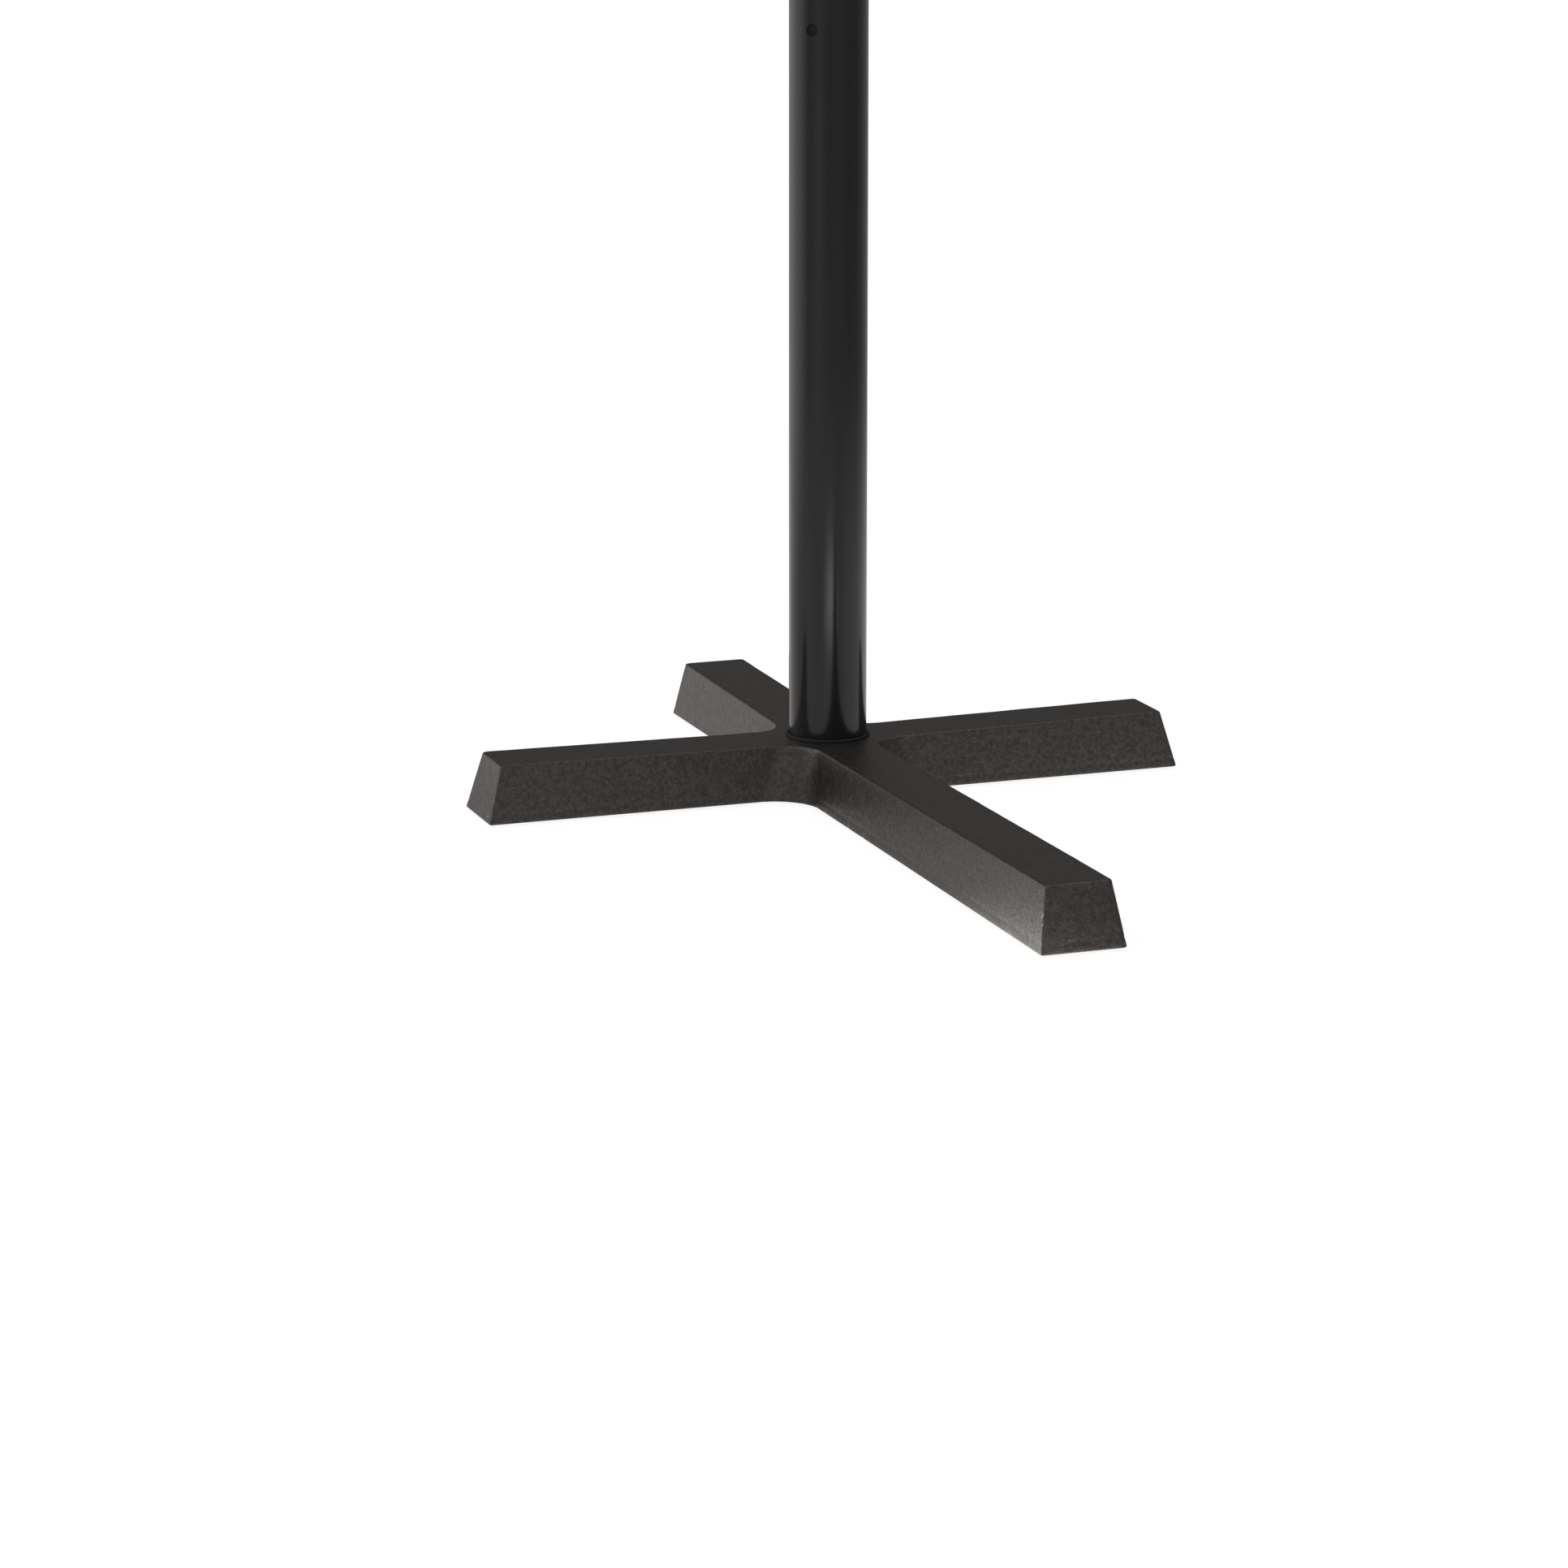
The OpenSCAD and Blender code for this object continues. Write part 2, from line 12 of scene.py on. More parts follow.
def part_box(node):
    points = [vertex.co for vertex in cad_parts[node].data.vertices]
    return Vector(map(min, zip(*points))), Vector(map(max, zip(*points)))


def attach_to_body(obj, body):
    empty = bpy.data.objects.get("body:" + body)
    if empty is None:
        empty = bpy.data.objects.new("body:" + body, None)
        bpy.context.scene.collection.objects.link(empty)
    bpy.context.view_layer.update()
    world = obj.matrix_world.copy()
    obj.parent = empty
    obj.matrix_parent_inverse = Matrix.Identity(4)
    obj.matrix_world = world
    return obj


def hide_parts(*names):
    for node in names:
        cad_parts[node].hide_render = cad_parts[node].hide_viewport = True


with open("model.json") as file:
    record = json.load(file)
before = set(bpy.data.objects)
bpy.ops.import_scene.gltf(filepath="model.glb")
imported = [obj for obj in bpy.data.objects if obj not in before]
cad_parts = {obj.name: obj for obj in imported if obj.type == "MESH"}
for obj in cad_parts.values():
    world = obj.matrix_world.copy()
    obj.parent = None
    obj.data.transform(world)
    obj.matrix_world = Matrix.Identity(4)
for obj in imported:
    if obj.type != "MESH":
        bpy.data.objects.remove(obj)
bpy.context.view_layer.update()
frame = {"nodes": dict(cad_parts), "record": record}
MM = 0.001
X, Y, Z = 0, 1, 2       # places in a box corner
UP = Vector((0, 0, 1))
BACK = Vector((0, 1, 0))


# ------------------------------------------------------------------ shared places
def middle(node, axis):
    lo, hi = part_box(node)
    return (lo[axis] + hi[axis]) / 2


def size_mm(node, axis):
    lo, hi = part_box(node)
    return (hi[axis] - lo[axis]) / MM


AXIS_X, AXIS_Y = middle("lower_post", X), middle("lower_post", Y)
POST_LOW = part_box("lower_post")[0][Z]
POST_R = size_mm("lower_post", X) / 2       # mm
TUBE_WALL = 2                               # post and mast, mm
STOP_PIN_Z = middle("stop_pin", Z)
STOP_PIN_AXIS = Vector((1, 1, 0)).normalized()
KNOB_Z = middle("knob_stud", Z)
MAST_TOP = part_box("inner_post")[1][Z]

# Legs are numbered front, right, back, left.
LEG_NAMES = ("front", "right", "back", "left")
LEG_TURN = [math.radians(a) for a in (-90, 0, 90, 180)]
base_lo, base_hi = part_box("base_casting")
BASE_ORIGIN = (AXIS_X, AXIS_Y, base_lo[Z])
# Reach at floor level; the rounded foot of the drafted tips keeps the box a little short of it.
BOX_REACH = (AXIS_Y - base_lo[Y], base_hi[X] - AXIS_X, base_hi[Y] - AXIS_Y, AXIS_X - base_lo[X])
FOOT_ALLOWANCE = (0.0020, 0.0007, 0.0005, 0.0018)
LEG_REACH = [box + extra for box, extra in zip(BOX_REACH, FOOT_ALLOWANCE)]


def leg_point(leg, out, across, z, origin=(0.0, 0.0, 0.0)):
    """Point in a leg's frame: out along it, across to the left as one looks outwards."""
    cos, sin = math.cos(LEG_TURN[leg]), math.sin(LEG_TURN[leg])
    return Vector((origin[0] + out * cos - across * sin,
                   origin[1] + out * sin + across * cos,
                   origin[2] + z))


# ------------------------------------------------------------------ mesh help
def add_object(name, mesh, material=None):
    obj = bpy.data.objects.new(name, mesh)
    bpy.context.scene.collection.objects.link(obj)
    if material:
        mesh.materials.append(material)
    return obj


def shade(bm, sharp_degrees):
    """Smooth shading, with edges sharper than the given angle kept crisp."""
    for face in bm.faces:
        face.smooth = True
    for edge in bm.edges:
        edge.smooth = not (len(edge.link_faces) == 2
                           and edge.calc_face_angle(0) > math.radians(sharp_degrees))


def mesh_object(name, vertices, faces, material=None, sharp_degrees=35):
    mesh = bpy.data.meshes.new(name)
    mesh.from_pydata([tuple(v) for v in vertices], [], faces)
    mesh.validate()
    bm = bmesh.new()
    bm.from_mesh(mesh)
    bmesh.ops.recalc_face_normals(bm, faces=bm.faces)
    shade(bm, sharp_degrees)
    bm.to_mesh(mesh)
    bm.free()
    return add_object(name, mesh, material)


def round_corners(profile, steps=5):
    """Closed profile [(r, z, corner radius)] -> [(r, z)] with an arc at each corner."""
    out = []
    for i, (x, y, radius) in enumerate(profile):
        if radius <= 0:
            out.append((x, y))
            continue
        corner = Vector((x, y))
        before = Vector(profile[i - 1][:2]) - corner
        after = Vector(profile[(i + 1) % len(profile)][:2]) - corner
        longest_cut = min(before.length * 0.49, after.length * 0.49)
        before.normalize()
        after.normalize()
        half_angle = before.angle(after) / 2
        cut = min(radius / math.tan(half_angle), longest_cut)
        arc = cut * math.tan(half_angle)
        centre = corner + (before + after).normalized() * (arc / math.sin(half_angle))
        start, end = corner + before * cut - centre, corner + after * cut - centre
        first = math.atan2(start.y, start.x)
        turn = (math.atan2(end.y, end.x) - first + math.pi) % (2 * math.pi) - math.pi
        for j in range(steps + 1):
            angle = first + turn * j / steps
            out.append((centre.x + arc * math.cos(angle), centre.y + arc * math.sin(angle)))
    return out


def axis_frame(origin, axis):
    """Matrix that stands local +Z along the axis at the origin."""
    z = Vector(axis).normalized()
    x = UP.cross(z)
    if x.length < 1e-6:
        x = Vector((1, 0, 0))
    x.normalize()
    matrix = Matrix((x, z.cross(x), z)).transposed().to_4x4()
    matrix.translation = Vector(origin)
    return matrix


def lathe(name, profile, origin, axis=UP, material=None, segments=96, radial=None):
    """Solid of revolution from a closed profile of (radius, height, corner radius) in mm.
    radial(angle, radius in metres) scales the radius around the turn."""
    vertices, rows = [], []
    for r, z in round_corners(profile):
        r, z = r * MM, z * MM
        if abs(r) < 1e-7:
            rows.append([len(vertices)] * segments)
            vertices.append(Vector((0, 0, z)))
            continue
        rows.append(range(len(vertices), len(vertices) + segments))
        for j in range(segments):
            angle = 2 * math.pi * j / segments
            reach = r * (radial(angle, r) if radial else 1.0)
            vertices.append(Vector((reach * math.cos(angle), reach * math.sin(angle), z)))
    faces = []
    for a, b in zip(rows, rows[1:] + rows[:1]):
        if a[0] == a[1] and b[0] == b[1]:
            continue
        for j in range(segments):
            k = (j + 1) % segments
            # a point on the axis appears twice and turns the quad into a triangle
            faces.append(list(dict.fromkeys((a[j], a[k], b[k], b[j]))))
    matrix = axis_frame(origin, axis)
    return mesh_object(name, [matrix @ v for v in vertices], faces, material)


def merge_into(mesh, objects):
    """Gathers the objects' meshes in one mesh and removes the other objects."""
    bm = bmesh.new()
    for obj in objects:
        bm.from_mesh(obj.data)
    bm.to_mesh(mesh)
    bm.free()
    for obj in objects:
        if obj.data != mesh:
            bpy.data.objects.remove(obj, do_unlink=True)


def join(name, objects, material=None):
    mesh = bpy.data.meshes.new(name)
    merge_into(mesh, objects)
    return add_object(name, mesh, material)


def apply_modifiers(obj):
    depsgraph = bpy.context.evaluated_depsgraph_get()
    mesh = bpy.data.meshes.new_from_object(obj.evaluated_get(depsgraph), depsgraph=depsgraph)
    obj.modifiers.clear()
    old = obj.data
    obj.data = mesh
    bpy.data.meshes.remove(old)


def attach(obj, body, slot, *nodes):
    """Hangs the piece under its body's empty and hides the CAD nodes it replaces."""
    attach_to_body(obj, body)
    if nodes:
        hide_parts(*nodes)


# ------------------------------------------------------------------ shader help
class Shader:
    """Short forms for building a node tree; values may be constants or sockets."""

    def __init__(self, owner):
        owner.use_nodes = True
        self.tree = owner.node_tree
        self.tree.nodes.clear()

    def node(self, kind, **properties):
        node = self.tree.nodes.new(kind)
        for key, value in properties.items():
            setattr(node, key, value)
        return node

    def put(self, socket, value):
        if isinstance(value, bpy.types.NodeSocket):
            self.tree.links.new(value, socket)
        else:
            socket.default_value = value

    def put_all(self, node, values):
        for key, value in values.items():
            self.put(node.inputs[key], value)

    def coords(self, output="Object"):
        return self.node("ShaderNodeTexCoord").outputs[output]

    def noise(self, vector, scale, detail=3.0, roughness=0.55, output="Fac"):
        node = self.node("ShaderNodeTexNoise")
        self.put_all(node, {"Vector": vector, "Scale": scale, "Detail": detail,
                            "Roughness": roughness})
        return node.outputs[output]

    def cells(self, vector, scale):
        node = self.node("ShaderNodeTexVoronoi")
        self.put_all(node, {"Vector": vector, "Scale": scale})
        return node.outputs["Distance"]

    def stretch(self, vector, scale):
        node = self.node("ShaderNodeMapping")
        self.put_all(node, {"Vector": vector, "Scale": scale})
        return node.outputs[0]

    def ramp(self, factor, stops):
        """stops: [(position, colour)]"""
        node = self.node("ShaderNodeValToRGB")
        elements = node.color_ramp.elements
        while len(elements) > 1:
            elements.remove(elements[-1])
        elements[0].position = stops[0][0]
        elements[0].color = (*stops[0][1], 1)
        for position, colour in stops[1:]:
            elements.new(position).color = (*colour, 1)
        self.put(node.inputs["Fac"], factor)
        return node.outputs["Color"]

    def grey_ramp(self, factor, stops):
        """stops: [(position, grey)]"""
        return self.ramp(factor, [(position, (grey,) * 3) for position, grey in stops])

    def math(self, operation, a, b=None, clamp=False):
        node = self.node("ShaderNodeMath", operation=operation, use_clamp=clamp)
        self.put(node.inputs[0], a)
        if b is not None:
            self.put(node.inputs[1], b)
        return node.outputs[0]

    def vector(self, operation, *inputs, scale=None, output="Vector"):
        node = self.node("ShaderNodeVectorMath", operation=operation)
        for socket, value in zip(node.inputs, inputs):
            self.put(socket, value)
        if scale is not None:
            self.put(node.inputs["Scale"], scale)
        return node.outputs[output]

    def mix(self, factor, a, b, blend_type="MIX"):
        node = self.node("ShaderNodeMix", data_type="RGBA", blend_type=blend_type)
        self.put(node.inputs[0], factor)
        for index, value in ((6, a), (7, b)):
            self.put(node.inputs[index], (*value, 1) if isinstance(value, tuple) else value)
        return node.outputs[2]

    def remap(self, value, span, to):
        node = self.node("ShaderNodeMapRange")
        for socket, item in zip(node.inputs, (value, *span, *to)):
            self.put(socket, item)
        return node.outputs[0]

    def bump(self, *layers):
        """layers: (height, strength, distance in metres), each laid over the one before."""
        normal = None
        for height, strength, distance in layers:
            node = self.node("ShaderNodeBump")
            self.put_all(node, {"Height": height, "Strength": strength, "Distance": distance})
            if normal is not None:
                self.put(node.inputs["Normal"], normal)
            normal = node.outputs[0]
        return normal


def new_material(name):
    material = bpy.data.materials.new(name)
    shader = Shader(material)
    output = shader.node("ShaderNodeOutputMaterial")
    surface = shader.node("ShaderNodeBsdfPrincipled")
    shader.put(output.inputs[0], surface.outputs[0])
    return material, shader, surface


def tint(colour, factor):
    return tuple(c * factor for c in colour)


# ------------------------------------------------------------------ materials
MARK_WARP = 0.0016      # how far noise bends the marks' outlines, m
MARK_COLOUR = (0.36, 0.36, 0.37)
# Paint chipped off near the leg tips, and a light scratch (last), in metres:
# leg, start and end as (back from the tip, across, height), half width, soft border, strength
PAINT_MARKS = (
    (0, (0.0085, -0.0282, 0.0270), (0.0090, -0.0288, 0.0254), 0.0007, 0.0004, 0.9),
    (0, (0.0068, -0.0291, 0.0205), (0.0066, -0.0294, 0.0197), 0.0005, 0.0004, 0.7),
    (0, (0.0040, 0.0303, 0.0117), (0.0040, 0.0305, 0.0109), 0.0007, 0.0004, 0.8),
    (3, (0.0015, 0.0225, 0.0050), (0.0015, 0.0232, 0.0056), 0.0006, 0.0004, 0.7),
    (0, (0.0017, -0.0187, 0.0055), (0.0025, -0.0074, 0.0085), 0.0002, 0.0006, 0.10),
)


def mark_mask(s, position, start, end, half_width, border):
    """Mask of a short mark from start to end with a soft border."""
    # the noise that bends the position averages one half, so it shifts by half the warp
    shift = Vector((MARK_WARP / 2,) * 3)
    start, end = start + shift, end + shift
    line = end - start
    offset = s.vector("SUBTRACT", position, tuple(start))
    along = s.vector("DOT_PRODUCT", offset, tuple(line / line.length_squared), output="Value")
    along = s.math("MULTIPLY", along, 1.0, clamp=True)
    nearest = s.vector("SCALE", tuple(line), scale=along)
    distance = s.vector("DISTANCE", offset, nearest, output="Value")
    return s.remap(distance, span=(half_width, half_width + border), to=(1.0, 0.0))


def add_paint_marks(s, position, colour):
    bend = s.noise(position, scale=900, detail=2.0, roughness=0.5, output="Color")
    bent = s.vector("MULTIPLY_ADD", bend, (MARK_WARP,) * 3, position)
    for leg, start, end, half_width, border, strength in PAINT_MARKS:
        start, end = (leg_point(leg, LEG_REACH[leg] - back, across, z, BASE_ORIGIN)
                      for back, across, z in (start, end))
        mask = mark_mask(s, bent, start, end, half_width, border)
        colour = s.mix(s.math("MULTIPLY", mask, strength, clamp=True), colour, MARK_COLOUR)
    return colour


def cast_material():
    """Satin black powder coat over sand-cast iron: fine orange peel, cast
    lumps, edges worn to dull metal, scuffs and chips."""
    worn_colour, worn_amount = (0.095, 0.090, 0.085), 0.05
    scuff_colour, scuff_amount = (0.19, 0.185, 0.175), 0.85
    material, s, surface = new_material("cast_powder_coat")
    position = s.coords()
    broad = s.noise(position, scale=14)
    lumps = s.noise(position, scale=140, detail=4, roughness=0.6)
    fine = s.noise(position, scale=620, roughness=0.6)
    grain = s.cells(position, scale=420)
    base = s.ramp(broad, [(0.3, (0.0142, 0.0130, 0.0124)), (0.7, (0.0190, 0.0175, 0.0166))])
    speckle = s.ramp(lumps, [(0.30, (0.80, 0.80, 0.80)), (0.52, (1.0, 1.0, 1.0)),
                             (0.74, (1.32, 1.30, 1.26))])
    colour = s.mix(1.0, base, speckle, blend_type="MULTIPLY")
    # wear on the edges, broken up by noise
    pointiness = s.node("ShaderNodeNewGeometry").outputs["Pointiness"]
    edge = s.remap(pointiness, span=(0.530, 0.62), to=(0.0, 1.0))
    patches = s.noise(position, scale=85, detail=4, roughness=0.7)
    broken = s.remap(patches, span=(0.50, 0.66), to=(0.0, 1.0))
    wear = s.math("MULTIPLY", edge, broken, clamp=True)
    wear = s.math("MULTIPLY", wear, worn_amount, clamp=True)
    colour = s.mix(wear, colour, worn_colour)
    # small scuffs marked on the mesh
    scuff = s.node("ShaderNodeAttribute", attribute_name="scuff").outputs["Fac"]
    colour = s.mix(s.math("MULTIPLY", scuff, scuff_amount, clamp=True), colour, scuff_colour)
    colour = add_paint_marks(s, position, colour)
    mottle = s.noise(position, scale=300, roughness=0.6)
    s.put_all(surface, {
        "Base Color": colour,
        "Roughness": s.remap(lumps, span=(0.3, 0.7), to=(0.34, 0.44)),
        "Specular IOR Level": s.remap(mottle, span=(0.34, 0.66), to=(0.68, 1.22)),
        "IOR": 1.58,
        "Specular Tint": (1.0, 0.955, 0.925, 1),
        "Normal": s.bump((lumps, 0.60, 0.0007), (mottle, 0.70, 0.0004),
                         (fine, 0.55, 0.0003), (grain, 0.25, 0.0003))})
    return material


def enamel_material():
    """Gloss black enamel on drawn tube: faint orange peel, drawn lines, dust."""
    black, gloss = (0.0090, 0.0088, 0.0087), (0.17, 0.24)
    dust_colour, dust_cover, dust_roughness = (0.16, 0.155, 0.15), 0.12, 0.2
    material, s, surface = new_material("tube_enamel")
    position = s.coords()
    peel = s.noise(position, scale=230, detail=2, roughness=0.5)
    broad = s.noise(position, scale=9)
    drawn = s.noise(s.stretch(position, scale=(320, 320, 3)), scale=1.0, roughness=0.6)
    dust = s.grey_ramp(s.noise(position, scale=900, detail=2, roughness=0.5),
                       [(0.70, 0), (0.78, 1)])
    colour = s.ramp(broad, [(0.3, tint(black, 0.85)), (0.7, tint(black, 1.2))])
    roughness = s.remap(broad, span=(0.3, 0.7), to=gloss)
    s.put_all(surface, {
        "Base Color": s.mix(s.math("MULTIPLY", dust, dust_cover), colour, dust_colour),
        "Roughness": s.math("ADD", roughness, s.math("MULTIPLY", dust, dust_roughness)),
        "Specular IOR Level": 0.5,
        "Coat Weight": 0.25,
        "Coat Roughness": 0.12,
        "Normal": s.bump((peel, 0.06, 0.0004), (drawn, 0.03, 0.0002))})
    return material


def plastic_material(name, colour, roughness, grain):
    """Moulded plastic or rubber with a cell-like grain."""
    material, s, surface = new_material(name)
    position = s.coords()
    cells = s.cells(position, scale=grain)
    broad = s.noise(position, scale=40)
    s.put_all(surface, {
        "Base Color": s.ramp(broad, [(0.3, tint(colour, 0.85)), (0.7, tint(colour, 1.25))]),
        "Roughness": s.remap(s.noise(position, scale=200), span=(0.3, 0.7),
                             to=(roughness - 0.05, roughness + 0.07)),
        "Normal": s.bump((cells, 0.20, 0.0003))})
    return material


def metal_material(name, colour, roughness):
    """Bare or plated metal with fine brushed lines."""
    material, s, surface = new_material(name)
    position = s.coords()
    broad = s.noise(position, scale=60, detail=4)
    lines = s.noise(s.stretch(position, scale=(900, 60, 900)), scale=1.0, roughness=0.6)
    s.put_all(surface, {
        "Base Color": s.ramp(broad, [(0.25, tint(colour, 0.8)), (0.5, colour),
                                     (0.75, tint(colour, 1.15))]),
        "Metallic": 1.0,
        "Roughness": s.remap(s.noise(position, scale=300), span=(0.3, 0.7),
                             to=(roughness - 0.08, roughness + 0.1)),
        "Normal": s.bump((lines, 0.08, 0.0002))})
    return material


CAST = cast_material()
ENAMEL = enamel_material()
BLACK_PLASTIC = plastic_material("black_plastic", colour=(0.018, 0.018, 0.019),
                                 roughness=0.46, grain=900)
# seat ring: a black ring, its colour made darker than black plastic as painted shade for the
# crease at the post's foot
RING_BLACK_AND_SHADE = plastic_material("seat_ring_black_and_shade", colour=(0.005, 0.005, 0.005),
                               roughness=0.62, grain=1400)
GLIDE = plastic_material("glide_plastic", colour=(0.03, 0.03, 0.031), roughness=0.5, grain=700)
ZINC = metal_material("zinc_plate", colour=(0.52, 0.53, 0.55), roughness=0.3)
CHROME = metal_material("bright_pin", colour=(0.80, 0.81, 0.83), roughness=0.16)
OXIDE = metal_material("black_oxide", colour=(0.055, 0.055, 0.058), roughness=0.38)
PIN_BLACK = plastic_material("pin_black", colour=(0.006, 0.006, 0.006),
                             roughness=0.75, grain=1500)

SLOT_MATERIALS = {
    "cast_black": CAST, "tube_black": ENAMEL, "steel": ZINC, "bright_metal": CHROME,
    "black_steel": OXIDE, "black_plastic": BLACK_PLASTIC, "glide_plastic": GLIDE}


def paint_cad_pieces():
    slots = {part["node"]: part["material_slot"] for part in frame["record"]["subparts"]}
    for name, obj in frame["nodes"].items():
        material = SLOT_MATERIALS[slots[name]]
        if not obj.material_slots:
            obj.data.materials.append(material)
        for slot in obj.material_slots:
            slot.material = material


# ------------------------------------------------------------------ the cast base
BASE_H = 0.041              # height at the hub
TOP_RISE = 0.0114           # rise of the top per metre outwards
HALF_LOW, HALF_TOP = 0.0326, 0.0252         # half width of a leg at floor and top
TIP_LEAN = 0.012            # how far the tips lean in over the height
FILLET_LOW, FILLET_TOP = 0.036, 0.027       # radius between neighbouring legs
WALL = 0.008
TIP_CORNER = 0.0016         # base radius of the tip corners in plan
UNDER_RADIUS = 0.005        # tip corners and ceiling edge of the underside
FOOT_RADIUS = 0.0013        # rounded lower edge
EDGE_RADIUS = 0.0014        # rounded upper edge
PARTING_Z, PARTING_REACH, PARTING_STEP = 0.0062, 0.0016, 0.00022
# scale of the tip corners per leg: right, left (as one looks outwards)
CORNER_SCALE = ((0.8, 1.9), (1.5, 1.5), (1.5, 1.5), (1.5, 1.2))
SIDE_STEPS = (120, 58, 58, 58)      # steps along each leg's straight side
SIDE_CROWDING = 1.25                # above 1 the steps grow finer towards the tip
FILLET_STEPS, CORNER_STEPS, ACROSS = 16, 6, 40
GLIDE_INSET = 0.042                 # glide centre back from the leg's reach

# small dents along the front leg's right lower edge, in metres:
# out, across, height, radius, depth
DENTS = (
    (0.082, -0.0322, 0.0008, 0.0022, 0.0005), (0.131, -0.0323, 0.0008, 0.0022, 0.0005),
    (0.163, -0.0323, 0.0008, 0.0024, 0.0005), (0.452, -0.0322, 0.0010, 0.0022, 0.0004))
TIP_ZONE = 0.013            # dents this near the tip are pressed in along the leg
DENT_SPREAD = 1.6           # a dent fades out at this many radii
DENT_SCUFF = 0.35           # scuff at a dent's centre


def top_height(out):
    return BASE_H + TOP_RISE * out


def half_outline(leg, reach, half_width, fillet, corner):
    """Left half of a leg as (out, across): fillet from its 45 degree point, side, tip corner."""
    centre = half_width + fillet
    points = []
    for i in range(FILLET_STEPS + 1):
        angle = math.radians(225 + 45 * i / FILLET_STEPS)
        points.append((centre + fillet * math.cos(angle), centre + fillet * math.sin(angle)))
    steps = SIDE_STEPS[leg]
    for i in range(1, steps):
        fraction = 1 - (1 - i / steps) ** SIDE_CROWDING
        points.append((centre + (reach - corner - centre) * fraction, half_width))
    for i in range(CORNER_STEPS + 1):
        angle = math.radians(90 - 90 * i / CORNER_STEPS)
        points.append((reach - corner + corner * math.cos(angle),
                       half_width - corner + corner * math.sin(angle)))
    return points


def outline(z, inset, corner, fillet, height):
    """Closed outline of the base at level z, drawn in by inset; height(out) gives each
    point's height. Returns the points and, per leg, its first index and points per side."""
    half_width = HALF_LOW - ((HALF_LOW - HALF_TOP) * z / BASE_H + inset)
    points, legs = [], []
    for leg in range(4):
        reach = LEG_REACH[leg] - (TIP_LEAN * z / BASE_H + inset)
        right_r, left_r = (corner * scale for scale in CORNER_SCALE[leg])
        mirrored = half_outline(leg, reach, half_width, fillet, right_r)
        right = [(out, -across) for out, across in mirrored]
        left = half_outline(leg, reach, half_width, fillet, left_r)
        end_width = 2 * half_width - right_r - left_r
        end = [(reach, (right_r - half_width) + end_width * j / ACROSS)
               for j in range(1, ACROSS)]
        legs.append((len(points), len(right)))
        # the left side's 45 degree point is the next leg's first point
        points += [leg_point(leg, out, across, height(out))
                   for out, across in right + end + left[:0:-1]]
    return points, legs


def fillet_at(z):
    return FILLET_LOW + (FILLET_TOP - FILLET_LOW) * z / BASE_H


def outer_outlines():
    """Outer skin from the floor up: rounded foot, drafted side, rounded top edge."""
    outlines = []
    for degrees in range(0, 91, 18):
        angle = math.radians(degrees)
        z, inset = FOOT_RADIUS * (1 - math.cos(angle)), FOOT_RADIUS * (1 - math.sin(angle))
        outlines.append(outline(z, inset, TIP_CORNER, fillet_at(z), lambda out: z))
    for i in range(1, 31):
        z = FOOT_RADIUS + (BASE_H - EDGE_RADIUS - FOOT_RADIUS) * i / 30
        # a faint parting step just above the foot
        step = PARTING_STEP * max(0.0, 1 - abs(z - PARTING_Z) / PARTING_REACH)
        rise = TOP_RISE * (z - FOOT_RADIUS) / (BASE_H - FOOT_RADIUS)
        outlines.append(outline(z, step, TIP_CORNER, fillet_at(z), lambda out: z + rise * out))
    for i in range(1, 11):
        angle = math.radians(9 * i)
        drop, inset = EDGE_RADIUS * (1 - math.sin(angle)), EDGE_RADIUS * (1 - math.cos(angle))
        outlines.append(outline(BASE_H - drop, inset, TIP_CORNER + inset * 0.5,
                                FILLET_TOP + inset, lambda out: top_height(out) - drop))
    return outlines


def underside_outlines():
    """Inner skin from the floor up to the rounded edge of the hollow's ceiling."""
    outlines = []
    # level, extra inset (the first one opens the mouth slightly)
    for z, extra in ((0.0, -0.0003), (0.002, 0.0), (0.010, 0.0), (0.020, 0.0)):
        inset = WALL + extra
        outlines.append(outline(z, inset, UNDER_RADIUS, fillet_at(z) + inset, lambda out: z))
    for i in range(6):
        angle = math.radians(18 * i)
        drop = WALL + UNDER_RADIUS * (1 - math.sin(angle))
        inset = WALL + UNDER_RADIUS * (1 - math.cos(angle))
        z = BASE_H - drop
        outlines.append(outline(z, inset, UNDER_RADIUS, fillet_at(z) + inset,
                                lambda out: top_height(out) - drop))
    return outlines


